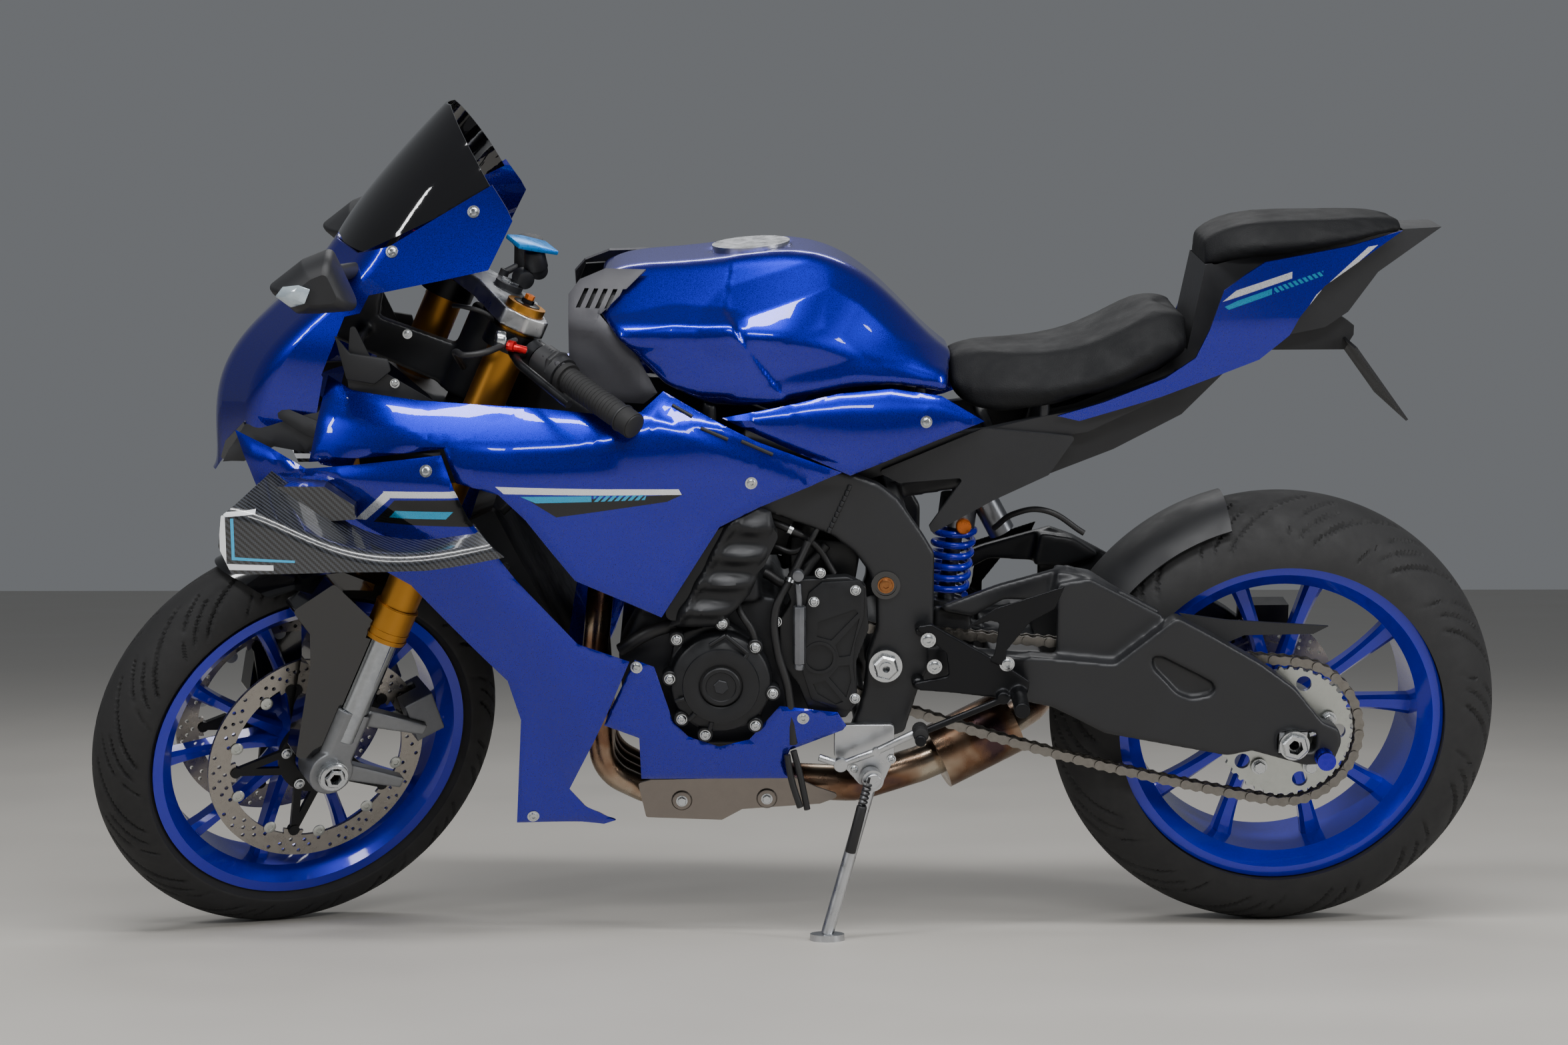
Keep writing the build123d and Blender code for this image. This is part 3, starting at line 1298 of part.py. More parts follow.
def rear_wheel_nodes():
    sprocket = toothed_disc((0, rear_axle.Z), rear_teeth, rear_pitch_r - chain_half_h - sprocket_gap,
                            rear_pitch_r - chain_half_h - sprocket_gap - 4, chain_y - 4, chain_y + 4)
    sprocket -= across(0, rear_axle.Z, 24, -200, 0)
    for i in range(spoke_pairs):
        angle = 2 * pi * i / spoke_pairs
        sprocket -= across(74 * cos(angle), rear_axle.Z + 74 * sin(angle), 11, -200, 0)
    disc = ring(rear_axle, rear_disc_r, 72, 84, 89) + ring(rear_axle, 74, 32, 80, 84)
    disc += ring(rear_axle, 44, 32, 70, 84)
    return {
        "rear_tyre": tyre(rear_axle, rear_tyre_r, rear_crown_r, rear_rim_half),
        "rear_rim": rim(rear_axle, rear_rim_half, rear_hub_half, 40.0, axle_r + bore_gap, 24.0),
        "rear_sprocket": sprocket + ring(rear_axle, 62, 24, chain_y + 4, -rear_hub_half),
        "rear_brake_disc": disc,
    }


def steering_nodes():
    return {
        "top_clamp": top_clamp(),
        "steering_stem": steering_stem(),
        "fork_outers": fork_outers(),
        "fork_sliders": fork_sliders(),
        "fork_feet": fork_feet(),
        "front_calipers": front_calipers(),
        "front_fender": front_fender(),
        "front_axle": front_axle_shaft(),
        "clip_ons": clip_ons(),
        "grips": grips(),
        "hand_levers": group(lever_blade(-1), lever_blade(1)),
        "bar_controls": group(switchgear(), brake_reservoir()),
    }


def root_nodes():
    return {
        "main_frame": main_frame(),
        "subframe": subframe(),
        "engine_block": engine_block(),
        "engine_covers": group(generator_cover(), sprocket_cover(), clutch_cover()),
        "head_side_cover": head_side_cover(),
        "swingarm": swingarm(),
        "axle_shafts": group(pivot_shaft(), rear_axle_shaft()),
        "axle_blocks": axle_blocks(),
        "paddock_spools": paddock_spools(),
        "drive_chain": group(chain_loop(), front_sprocket()),
        "shock_absorber": shock_absorber(),
        "shock_spring": shock_spring(),
        "exhaust": group(exhaust_headers(), muffler()),
        "exhaust_guard": exhaust_guard(),
        "radiator": radiator(),
        "stand_bracket": side_stand_bracket(),
        "upper_fairings": upper_fairings(),
        "panel_stays": panel_stays(),
        "lower_fairings": group(lower_side_fairings(), belly_panels()),
        "nose_cowl": nose_cowl(),
        "windscreen": windscreen(),
        "fuel_tank": fuel_tank(),
        "filler_cap": filler_cap(),
        "tank_side_panels": tank_side_panels(),
        "airbox_trim": airbox_trim(),
        "rider_seat": rider_seat(),
        "pillion_seat": pillion_seat(),
        "tail_cowls": tail_cowls(),
        "tail_undertray": group(tail_undertray(), subframe_covers()),
        "plate_bracket": plate_bracket(),
        "winglets": winglets(),
        "mirrors": mirrors(),
        "headlamps": headlamps(),
        "cockpit": group(dash(), cockpit_panels()),
        "rear_guards": group(hugger(), chain_guard()),
        "rearsets": group(rearset(-1), rearset(1), gear_lever()),
        "rear_caliper": rear_caliper(),
    }


def parked(shape, steered):
    """Turns what steers onto its stop, then levels and leans the bike onto its stand."""
    if steered:
        shape = shape.rotate(Axis(steer_foot, steer_up), steering_lock)
    shape = shape.rotate(Axis((0, 0, 0), (0, 1, 0)), pitch)
    return shape.rotate(Axis((0, 0, 0), (1, 0, 0)), lean)


def lowest(centre, axle_dir, ring_r, crown_r):
    """Height of the lowest point of a round-crowned tyre."""
    return centre.Z - ring_r * sqrt(1 - axle_dir.Z**2) - crown_r


def tyre_heights(angle):
    """Lowest points of the rear and front tyres, at a pitch angle, leaned and steered."""
    result = []
    for centre, outer, crown, steered in ((rear_axle, rear_tyre_r, rear_crown_r, False),
                                          (front_axle, front_tyre_r, front_crown_r, True)):
        tip = centre + Vector(0, 1, 0)
        if steered:
            tip = steer_foot + (tip - steer_foot).rotate(Axis((0, 0, 0), steer_up), steering_lock)
            centre = steer_foot + (centre - steer_foot).rotate(Axis((0, 0, 0), steer_up), steering_lock)
        spots = []
        for point in (centre, tip):
            spots.append(point.rotate(Axis.Y, angle).rotate(Axis.X, lean))
        result.append(lowest(spots[0], spots[1] - spots[0], outer - crown, crown))
    return result


def level_pitch():
    """The pitch at which both tyres touch the floor."""
    low, high = -3.0, 3.0
    for _ in range(40):
        middle = (low + high) / 2
        rear, front = tyre_heights(middle)
        if front > rear:
            high = middle
        else:
            low = middle
    return (low + high) / 2


pitch = level_pitch()
bodies = {
    "root": root_nodes(),
    "steering": steering_nodes(),
    "front_wheel": front_wheel_nodes(),
    "rear_wheel": rear_wheel_nodes(),
    "side_stand": {"side_stand": side_stand()},
}

placed = {}
for body, nodes in bodies.items():
    for name, shape in nodes.items():
        placed[name] = parked(shape, body in ("steering", "front_wheel"))

corners = Compound([s for shape in placed.values() for s in shape.solids()]).bounding_box()
origin = Vector(-(corners.min.X + corners.max.X) / 2, -(corners.min.Y + corners.max.Y) / 2, -tyre_heights(pitch)[0])

os.makedirs("parts", exist_ok=True)
for name, shape in placed.items():
    solids = [Pos(*origin) * s for s in shape.solids()]
    export_step(solids[0] if len(solids) == 1 else Compound(solids), f"parts/{name}.step")
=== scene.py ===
import bpy
import numpy as np
from math import atan2, cos, hypot, pi, radians, sin
from mathutils import Matrix, Vector
from mathutils.bvhtree import BVHTree
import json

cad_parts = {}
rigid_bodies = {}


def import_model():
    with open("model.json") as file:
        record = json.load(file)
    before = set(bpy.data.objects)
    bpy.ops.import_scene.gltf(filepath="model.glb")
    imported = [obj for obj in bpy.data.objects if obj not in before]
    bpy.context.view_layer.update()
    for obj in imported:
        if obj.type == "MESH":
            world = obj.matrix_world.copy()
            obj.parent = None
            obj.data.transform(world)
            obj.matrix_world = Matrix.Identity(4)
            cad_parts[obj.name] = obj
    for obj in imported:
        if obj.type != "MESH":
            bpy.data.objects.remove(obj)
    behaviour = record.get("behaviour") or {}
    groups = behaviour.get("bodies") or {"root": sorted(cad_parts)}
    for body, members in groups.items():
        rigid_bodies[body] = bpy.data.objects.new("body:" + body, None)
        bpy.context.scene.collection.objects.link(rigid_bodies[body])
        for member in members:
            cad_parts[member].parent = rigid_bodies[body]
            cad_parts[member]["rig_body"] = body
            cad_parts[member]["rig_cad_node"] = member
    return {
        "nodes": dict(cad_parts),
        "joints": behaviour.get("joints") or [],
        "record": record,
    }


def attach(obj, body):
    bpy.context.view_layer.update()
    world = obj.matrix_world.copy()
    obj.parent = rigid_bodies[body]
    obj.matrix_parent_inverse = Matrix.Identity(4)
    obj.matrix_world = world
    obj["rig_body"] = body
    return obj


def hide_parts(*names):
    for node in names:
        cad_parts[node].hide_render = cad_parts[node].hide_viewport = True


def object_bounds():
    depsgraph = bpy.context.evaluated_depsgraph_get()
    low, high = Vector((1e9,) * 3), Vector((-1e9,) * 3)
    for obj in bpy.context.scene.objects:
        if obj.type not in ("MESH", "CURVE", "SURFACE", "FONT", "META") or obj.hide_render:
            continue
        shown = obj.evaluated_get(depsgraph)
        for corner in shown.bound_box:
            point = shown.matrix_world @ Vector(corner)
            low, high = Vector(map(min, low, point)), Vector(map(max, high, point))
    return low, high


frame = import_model()
nodes = frame["nodes"]
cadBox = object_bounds()
print("frame loaded,", len(nodes), "nodes")

# the bike leans on its side stand with the bars at their stop; pieces are built upright in mm
stance = {"lean": 13.5, "pitch": -0.38505, "lock": 30.0, "rake": 24.0,
          "rearAxle": (0.0, 0.0, 0.3205), "steerFoot": (-1.507, 0.0, 0.0)}
jointPlace = {joint["name"]: Vector(joint["pos_m"]) for joint in frame["joints"]}
tilt = Matrix.Rotation(radians(stance["lean"]), 4, "X") @ Matrix.Rotation(radians(stance["pitch"]), 4, "Y")
parked = Matrix.Translation(jointPlace["rear_wheel_spin"] - tilt @ Vector(stance["rearAxle"])) @ tilt
steerUp = Vector((sin(radians(stance["rake"])), 0, cos(radians(stance["rake"]))))
steerAhead = Vector((-steerUp.z, 0, steerUp.x))
steerFoot = Vector(stance["steerFoot"])
turned = (parked @ Matrix.Translation(steerFoot) @ Matrix.Rotation(radians(stance["lock"]), 4, steerUp)
          @ Matrix.Translation(-steerFoot))
frontAxle = Vector((-1405.0, 0.0, 300.0))
rearAxle = Vector((0.0, 0.0, 320.5))
out = Vector((0, -1, 0))
sidePlanes = Matrix.Scale(-1, 4, (0, 1, 0))


def onFork(along, ahead, across):
    axleAlong = (frontAxle - steerFoot * 1000).dot(steerUp)
    return steerFoot * 1000 + steerUp * (axleAlong + along) + steerAhead * ahead + Vector((0, across, 0))


# camera and studio
studio = {"cameraPlace": (-0.1449, -4.1097, 0.6297), "cameraYaw": -1.582, "cameraPitch": -0.665, "focal": 67.26,
          "sky": "#c9cdd2", "skyStrength": 0.26, "floor": "#b9b5ae", "floorHalf": 14.0}


def linear(code):
    # sRGB hex to the linear values the shaders use
    parts = [int(code[i:i + 2], 16) / 255 for i in (1, 3, 5)]
    return tuple(c / 12.92 if c <= 0.04045 else ((c + 0.055) / 1.055) ** 2.4 for c in parts) + (1.0,)


def addNode(tree, kind, links=None, **settings):
    node = tree.nodes.new(kind)
    for key, value in settings.items():
        setattr(node, key, value)
    for key, value in (links or {}).items():
        if isinstance(value, bpy.types.NodeSocket):
            tree.links.new(value, node.inputs[key])
        else:
            node.inputs[key].default_value = value
    return node


camera = bpy.data.objects.new("camera", bpy.data.cameras.new("camera"))
bpy.context.scene.collection.objects.link(camera)
camera.location = studio["cameraPlace"]
camera.rotation_euler = (radians(90 + studio["cameraPitch"]), 0, radians(studio["cameraYaw"]))
camera.data.lens, camera.data.sensor_width = studio["focal"], 36
camera.data.clip_start, camera.data.clip_end = 0.05, 100
bpy.context.scene.camera = camera

world = bpy.data.worlds.new("studioAir")
bpy.context.scene.world = world
world.use_nodes = True
world.node_tree.nodes["Background"].inputs[0].default_value = linear(studio["sky"])
world.node_tree.nodes["Background"].inputs[1].default_value = studio["skyStrength"]

# place, aim, width, height, watts
softboxes = {"overhead": ((-0.1, -1.5, 3.0), (0.0, 0.0, 0.5), 3.2, 0.32, 95),
             "frontStrip": ((-3.2, -2.4, 1.9), (-0.6, 0.0, 0.6), 0.22, 1.8, 32),
             "cameraSide": ((0.6, -3.8, 2.6), (0.0, 0.0, 0.5), 2.6, 0.4, 60),
             "farSide": ((0.0, 2.4, 3.4), (0.0, 0.0, 0.6), 3.0, 0.5, 45),
             "rearStrip": ((3.2, -1.6, 1.6), (0.5, 0.0, 0.6), 0.35, 2.2, 45)}
for name, (place, aim, width, height, watts) in softboxes.items():
    light = bpy.data.lights.new(name, "AREA")
    light.shape, light.size, light.size_y, light.energy = "RECTANGLE", width, height, watts
    lamp = bpy.data.objects.new(name, light)
    lamp.location = place
    lamp.rotation_euler = (Vector(aim) - Vector(place)).to_track_quat("-Z", "Y").to_euler()
    bpy.context.scene.collection.objects.link(lamp)

# finishes
def bikeCoords(tree, pose):
    # the surface's place in the bike's own upright frame, in metres
    back = pose.inverted()
    coords = addNode(tree, "ShaderNodeTexCoord")
    return addNode(tree, "ShaderNodeMapping", {"Vector": coords.outputs["Object"], "Location": back.translation,
                                               "Rotation": back.to_euler()}).outputs["Vector"]


def maths(tree, operation, first, second=0.5):
    return addNode(tree, "ShaderNodeMath", {0: first, 1: second}, operation=operation).outputs[0]


def mixed(tree, share, first, second):
    return addNode(tree, "ShaderNodeMix", {0: share, 6: first, 7: second}, data_type="RGBA").outputs[2]


def finish(name, colour, second, blotch, metallic, rough, grain, depth, roughSpread=0.08, pattern="noise",
           stretch=(1, 1, 1), coat=0.0, coatRough=0.03, ior=None, pose=parked, specular=None):
    # grain and blotch are real sizes in mm, depth is the relief in mm
    material = bpy.data.materials.new(name)
    material.use_nodes = True
    tree = material.node_tree
    shader = tree.nodes["Principled BSDF"]
    coords = bikeCoords(tree, pose)
    for key, value in (("Metallic", metallic), ("IOR", ior), ("Specular IOR Level", specular),
            ("Coat Weight", coat),
                       ("Coat Roughness", coatRough)):
        if value is not None:
            shader.inputs[key].default_value = value
    cloud = addNode(tree, "ShaderNodeTexNoise", {"Vector": coords, "Scale": 1000 / blotch, "Detail": 4.0,
                                                 "Roughness": 0.6}).outputs["Fac"]
    tree.links.new(mixed(tree, cloud, linear(colour), linear(second)), shader.inputs["Base Color"])
    spread = addNode(tree, "ShaderNodeMapRange", {"Value": cloud, "From Min": 0.3, "From Max": 0.7,
                                                  "To Min": max(rough - roughSpread, 0.02),
                                                  "To Max": min(rough + roughSpread, 1.0)})
    tree.links.new(spread.outputs["Result"], shader.inputs["Roughness"])
    if depth:
        drawn = addNode(tree, "ShaderNodeMapping", {"Vector": coords, "Scale": stretch}).outputs["Vector"]
        if pattern == "cells":
            height = addNode(tree, "ShaderNodeTexVoronoi",
                    {"Vector": drawn, "Scale": 1000 / grain}).outputs["Distance"]
        else:
            height = addNode(tree, "ShaderNodeTexNoise",
                    {"Vector": drawn, "Scale": 1000 / grain, "Detail": 2.0}).outputs["Fac"]
        bump = addNode(tree, "ShaderNodeBump", {"Height": height, "Strength": 1.0, "Distance": depth / 1000})
        tree.links.new(bump.outputs["Normal"], shader.inputs["Normal"])
    return material


def reachAlong(tree, coords, direction):
    return addNode(tree, "ShaderNodeVectorMath", {0: coords, 1: direction},
                   operation="DOT_PRODUCT").outputs["Value"]


def patch(tree, coords, corners):
    # 1 inside a convex outline of (x, z) corners in mm, 0 outside
    middle = Vector((sum(c[0] for c in corners), sum(c[1] for c in corners))) / len(corners)
    mask = None
    for a, b in zip(corners, corners[1:] + corners[:1]):
        across = Vector((b[1] - a[1], a[0] - b[0])).normalized()
        if (middle - Vector(a)).dot(across) > 0:
            across = -across
        inside = maths(tree, "LESS_THAN", reachAlong(tree, coords, (across.x, 0, across.y)),
                       across.dot(Vector(a)) / 1000)
        mask = inside if mask is None else maths(tree, "MULTIPLY", mask, inside)
    return mask


def comb(tree, coords, slant, step, share):
    # repeated slanted dashes along x, step in mm
    reach = reachAlong(tree, coords, (1000 / step, 0, -1000 * slant / step))
    return maths(tree, "LESS_THAN", maths(tree, "FRACT", reach), share)


def stripes(name, rows):
    # lays each row's colour over the base wherever one of its outlines is
    tree = finishes[name].node_tree
    base = tree.nodes["Principled BSDF"].inputs["Base Color"]
    coords = bikeCoords(tree, parked)
    for colour, outlines in rows:
        total = None
        for outline in outlines:
            mask = patch(tree, coords, outline["corners"])
            if "comb" in outline:
                mask = maths(tree, "MULTIPLY", mask, comb(tree, coords, *outline["comb"]))
            total = mask if total is None else maths(tree, "MAXIMUM", total, mask)
        tree.links.new(mixed(tree, total, base.links[0].from_socket, linear(colour)), base)


# base and second colour, blotch, metallic, rough, grain, relief, and then what else differs
recipes = {
    # powder coat on cast wheels: deeper blue, slightly orange-peeled gloss
    "wheelPaint": ("#0508a0", "#0911c4", 2, 0.55, 0.36, 3, 0.03, {"coat": 0.9, "coatRough": 0.06}),
    # satin paint on cast aluminium, a soft sheen with a fine sand texture
    "framePaint": ("#1b1c1f", "#232427", 40, 0.25, 0.46, 0.9, 0.03, {"coat": 0.15, "coatRough": 0.3}),
    "castGrey": ("#2c2d30", "#3a3b3e", 18, 0.6, 0.5, 0.8, 0.06),
    "caliperGrey": ("#5d5f63", "#707276", 12, 0.8, 0.4, 0.8, 0.03, {"pose": turned}),
    "castBlack": ("#161719", "#222326", 25, 0.35, 0.42, 0.9, 0.05),
    # grained polypropylene mouldings: a dull spark-eroded skin
    "plasticBlack": ("#141518", "#1b1c1f", 50, 0, 0.56, 0.7, 0.05, {"pattern": "cells"}),
    "plasticGrey": ("#3a3a3f", "#444449", 50, 0, 0.55, 0.8, 0.06, {"pattern": "cells"}),
    # dark tinted acrylic, glossy like glass
    "screenAcrylic": ("#060607", "#0b0a0d", 90, 0, 0.05, 1, 0,
        {"roughSpread": 0.02, "coat": 1, "coatRough": 0.01, "ior": 1.49}),
    "glossBlack": ("#08080a", "#0c0c0f", 70, 0, 0.12, 4, 0.01,
        {"roughSpread": 0.04, "coat": 0.8, "coatRough": 0.04}),
    # clear polycarbonate over a bright reflector
    "lampLens": ("#9fb0bd", "#c9d5dc", 8, 0.35, 0.12, 3, 0.08, {"pattern": "cells", "coat": 1}),
    # smoked polycarbonate in front of the lamps
    "smokedLens": ("#101318", "#1d2229", 8, 0.1, 0.1, 3, 0.05, {"pattern": "cells", "coat": 1}),
    "tyreRubber": ("#19191a", "#222223", 30, 0, 0.78, 1.1, 0.08, {"roughSpread": 0.1}),
    "gripRubber": ("#151516", "#1c1c1d", 20, 0, 0.72, 1, 0.06, {"pose": turned}),
    # leathercloth: closed pebble grain about a millimetre and a half across
    "seatVinyl": ("#08090b", "#0d0e11", 45, 0, 0.66, 1.7, 0.22, {"specular": 0.25, "pattern": "cells"}),
    "zincSteel": ("#b5b8bb", "#cfd2d4", 6, 1, 0.26, 0.8, 0.01),
    "silverAluminium": ("#b3b5b8", "#c7c9cc", 14, 1, 0.33, 0.7, 0.02),
    "blackAluminium": ("#101114", "#17181b", 20, 0.6, 0.36, 0.8, 0.02),
    "chainSteel": ("#6d6a66", "#938f89", 7, 1, 0.36, 1, 0.02),
    "sprocketZinc": ("#a9aca8", "#c8cbc6", 16, 1, 0.34, 0.9, 0.02),
    # ground stainless, with the fine circular lines of the pads
    "discSteel": ("#8f8a84", "#a9a49d", 12, 1, 0.3, 0.8, 0.03),
    "carrierBlack": ("#0e0f11", "#17181a", 20, 0.5, 0.4, 0.8, 0.02),
    # gold hard anodising on drawn tube
    "forkGold": ("#b07a30", "#c0883a", 40, 1, 0.4, 1.2, 0.002,
        {"roughSpread": 0.03, "stretch": (0.3, 1, 1), "pose": turned}),
    "forkChrome": ("#8d9196", "#b4b8bc", 9, 1, 0.12, 1.5, 0.004, {"roughSpread": 0.04, "pose": turned}),
    "footCast": ("#77797c", "#8f9194", 12, 0.85, 0.42, 0.8, 0.08, {"pose": turned}),
    "shockGrey": ("#6b6d72", "#83858a", 12, 0.9, 0.34, 0.9, 0.02),
    "springBlue": ("#1414b8", "#1c1cd8", 10, 0.3, 0.3, 1.5, 0.01, {"coat": 0.7}),
    "guardSteel": ("#77706a", "#8f8780", 26, 1, 0.36, 0.7, 0.03, {"stretch": (0.06, 1, 1)}),
    "radiatorBlack": ("#101113", "#1a1b1d", 20, 0.4, 0.6, 1, 0.04),
    "spoolBlue": ("#2a22a8", "#4a3cc8", 8, 1, 0.25, 0.9, 0.01),
    "redReflector": ("#8c0b12", "#b8141c", 6, 0, 0.2, 2.5, 0.12, {"pattern": "cells", "coat": 0.8}),
    "whitePaint": ("#dfe2e8", "#eceef2", 8, 0, 0.25, 2, 0.01, {"coat": 0.8}),
    "hoseBlack": ("#101012", "#18181a", 15, 0, 0.5, 1.2, 0.06),
    "blueCap": ("#0a78c8", "#1490e0", 9, 0.4, 0.3, 1, 0.02, {"pose": turned}),
    "redAnodised": ("#c01218", "#da2028", 6, 0.7, 0.3, 0.9, 0.01, {"pose": turned}),
    "orangeCap": ("#c8641c", "#e07a2a", 8, 0.5, 0.3, 1, 0.02),
    "bronzeBolt": ("#8a5a34", "#a8744a", 6, 1, 0.34, 0.9, 0.01),
}
# metallic basecoat under clear lacquer: flakes sparkle below a smooth, mirror-bright skin
for name in ("bluePaint", "fairingPaint", "tailPaint"):
    recipes[name] = ("#00027c", "#0005b4", 1.2, 0.9, 0.3, 0.9, 0.006, {"coat": 1, "coatRough": 0.02})
# stainless pipe: straw near the bends, brown and violet where it runs hottest
recipes["exhaustPipe"] = ("#7d6a5c", "#a08e80", 34, 1, 0.28, 1, 0.01)
# carbon cloth under lacquer: 2x2 twill tows, drawn a little coarse so that they show
recipes["carbonCloth"] = ("#0c0d0f", "#15161a", 30, 0, 0.3, 1, 0, {"coat": 1})
finishes = {name: finish(name, *row[:7], **(row[7] if len(row) > 7 else {})) for name, row in recipes.items()}

tree = finishes["exhaustPipe"].node_tree
heat = addNode(tree, "ShaderNodeTexNoise", {"Vector": bikeCoords(tree, parked), "Scale": 11.0, "Detail": 3.0})
ramp = addNode(tree, "ShaderNodeValToRGB", {"Fac": heat.outputs["Fac"]})
for spot, code in ((0.36, "#4c3a3c"), (0.46, "#7a5b46"), (0.56, "#9a8470"), (0.68, "#b3a897")):
    stop = ramp.color_ramp.elements.new(spot)
    stop.color = linear(code)
ramp.color_ramp.elements[0].color, ramp.color_ramp.elements[-1].color = linear("#413240"), linear("#c0b7ab")
tree.links.new(ramp.outputs["Color"], tree.nodes["Principled BSDF"].inputs["Base Color"])

thread = 2.2
tree = finishes["carbonCloth"].node_tree
parts = addNode(tree, "ShaderNodeSeparateXYZ", {0: bikeCoords(tree, parked)}).outputs
across = maths(tree, "SUBTRACT", parts["Z"], maths(tree, "ABSOLUTE", parts["Y"]))
cells = [maths(tree, "FLOOR", maths(tree, "MULTIPLY", value, 1000 / thread)) for value in (parts["X"], across)]
turn = maths(tree, "FLOORED_MODULO", maths(tree, "ADD", *cells), 4.0)
tow = mixed(tree, maths(tree, "LESS_THAN", turn, 1.5), linear("#0a0a0c"), linear("#33363c"))
tree.links.new(tow, tree.nodes["Principled BSDF"].inputs["Base Color"])

stripes("fairingPaint", (
    ("#08090c", [{"corners": [(-1258, 666), (-1228, 698), (-1143, 700), (-1127, 680), (-1124, 664)]},
                 {"corners": [(-1050, 694), (-845, 697), (-868, 687), (-1015, 671)]}]),
    ("#eceef4", [{"corners": [(-1283, 668), (-1242, 709), (-1234, 700), (-1268, 668)]},
                 {"corners": [(-1243, 710), (-1127, 712), (-1127, 703), (-1238, 701)]},
                 {"corners": [(-1095, 714), (-852, 704), (-848, 696), (-1084, 704)]}]),
    ("#12a6d8", [{"corners": [(-1236, 674), (-1227, 684), (-1150, 684), (-1160, 674)]},
                 {"corners": [(-1062, 700), (-968, 699), (-968, 691), (-1042, 691)]},
                 {"corners": [(-965, 699), (-895, 698), (-897, 691), (-965, 691)], "comb": (1.0, 9.0, 0.62)}])))
stripes("tailPaint", (
    ("#eceef4", [{"corners": [(-113, 936), (-94, 951), (-16, 974), (-16, 965), (-92, 942)]},
                 {"corners": [(92, 1004), (106, 1006), (10, 928), (2, 916), (-6, 920)]}]),
    ("#12a6d8", [{"corners": [(-110, 929), (-92, 937), (-44, 952), (-44, 944), (-104, 925)]},
                 {"corners": [(-41, 953), (28, 974), (28, 967), (-41, 945)], "comb": (-1.0, 9.0, 0.62)}])))
stripes("carbonCloth", (
    ("#e6e8ec", [{"corners": [(-1446, 700), (-1402, 702), (-1402, 697), (-1440, 694)]},
                 {"corners": [(-1449, 696), (-1441, 696), (-1441, 624), (-1449, 624)]},
                 {"corners": [(-1449, 632), (-1380, 630), (-1380, 623), (-1449, 624)]}]),
    ("#12a6d8", [{"corners": [(-1434, 692), (-1430, 692), (-1430, 640), (-1434, 637)]},
                 {"corners": [(-1434, 641), (-1352, 636), (-1352, 633), (-1434, 637)]}])))

nodeFinish = {
    "bluePaint": "nose_cowl fuel_tank tank_side_panels",
    "fairingPaint": "upper_fairings lower_fairings",
    "tailPaint": "tail_cowls",
    "wheelPaint": "front_rim rear_rim",
    "framePaint": "main_frame subframe swingarm steering_stem",
    "castGrey": "engine_block",
    "castBlack": "engine_covers head_side_cover",
    "plasticBlack": "mirrors tail_undertray plate_bracket cockpit rear_guards bar_controls",
    "plasticGrey": "airbox_trim",
    "screenAcrylic": "windscreen",
    "glossBlack": "front_fender",
    "carbonCloth": "winglets",
    "smokedLens": "headlamps",
    "tyreRubber": "front_tyre rear_tyre",
    "gripRubber": "grips",
    "seatVinyl": "rider_seat pillion_seat",
    "zincSteel": "axle_shafts panel_stays front_axle",
    "silverAluminium": "axle_blocks stand_bracket filler_cap top_clamp side_stand",
    "blackAluminium": "rearsets rear_caliper clip_ons hand_levers",
    "chainSteel": "drive_chain",
    "sprocketZinc": "rear_sprocket",
    "discSteel": "front_brake_discs rear_brake_disc",
    "carrierBlack": "disc_carriers",
    "forkGold": "fork_outers",
    "forkChrome": "fork_sliders",
    "footCast": "fork_feet front_calipers",
    "shockGrey": "shock_absorber",
    "springBlue": "shock_spring",
    "exhaustPipe": "exhaust",
    "guardSteel": "exhaust_guard",
    "radiatorBlack": "radiator",
    "spoolBlue": "paddock_spools",
}
for finishName, group in nodeFinish.items():
    for nodeName in group.split():
        if nodeName in nodes:
            holder = nodes[nodeName].material_slots[0]
            holder.link = "OBJECT"
            holder.material = finishes[finishName]
print("finishes made")

# floor: plain pale screed
bpy.ops.object.select_all(action="DESELECT")
bpy.ops.mesh.primitive_plane_add(size=2 * studio["floorHalf"], location=(0, 0, cadBox[0].z))
floor = bpy.context.active_object
floor.name = "studioFloor"
floor.data.materials.append(finish("floorScreed", studio["floor"], "#c6c2bb", 900, 0, 0.5, 14, 0.05,
                                   pose=Matrix.Identity(4)))

# modelling helpers
def only(*objs):
    if bpy.context.object and bpy.context.object.mode != "OBJECT":
        bpy.ops.object.mode_set(mode="OBJECT")
    bpy.ops.object.select_all(action="DESELECT")
    for obj in objs:
        obj.select_set(True)
    bpy.context.view_layer.objects.active = objs[0]


def applied(obj, kind, **settings):
    # adds a modifier and applies it at once
    only(obj)
    modifier = obj.modifiers.new("step", kind)
    for key, value in settings.items():
        setattr(modifier, key, value)
    bpy.ops.object.modifier_apply(modifier="step")
    return obj


def edgesBroken(obj, width, segments=2, angle=32):
    return applied(obj, "BEVEL", width=width / 1000, segments=segments, limit_method="ANGLE",
                   angle_limit=radians(angle), use_clamp_overlap=True)


def fromPoints(name, points, edges=(), faces=()):
    mesh = bpy.data.meshes.new(name)
    mesh.from_pydata([tuple(Vector(p) / 1000) for p in points], list(edges), list(faces))
    obj = bpy.data.objects.new(name, mesh)
    bpy.context.scene.collection.objects.link(obj)
    only(obj)
    return obj


def tidied(obj, gap=0.02):
    # doubles merged, then every face turned outwards
    only(obj)
    bpy.ops.object.mode_set(mode="EDIT")
    bpy.ops.mesh.select_all(action="SELECT")
    bpy.ops.mesh.remove_doubles(threshold=gap / 1000)
    bpy.ops.mesh.normals_make_consistent(inside=False)
    bpy.ops.object.mode_set(mode="OBJECT")
    return obj


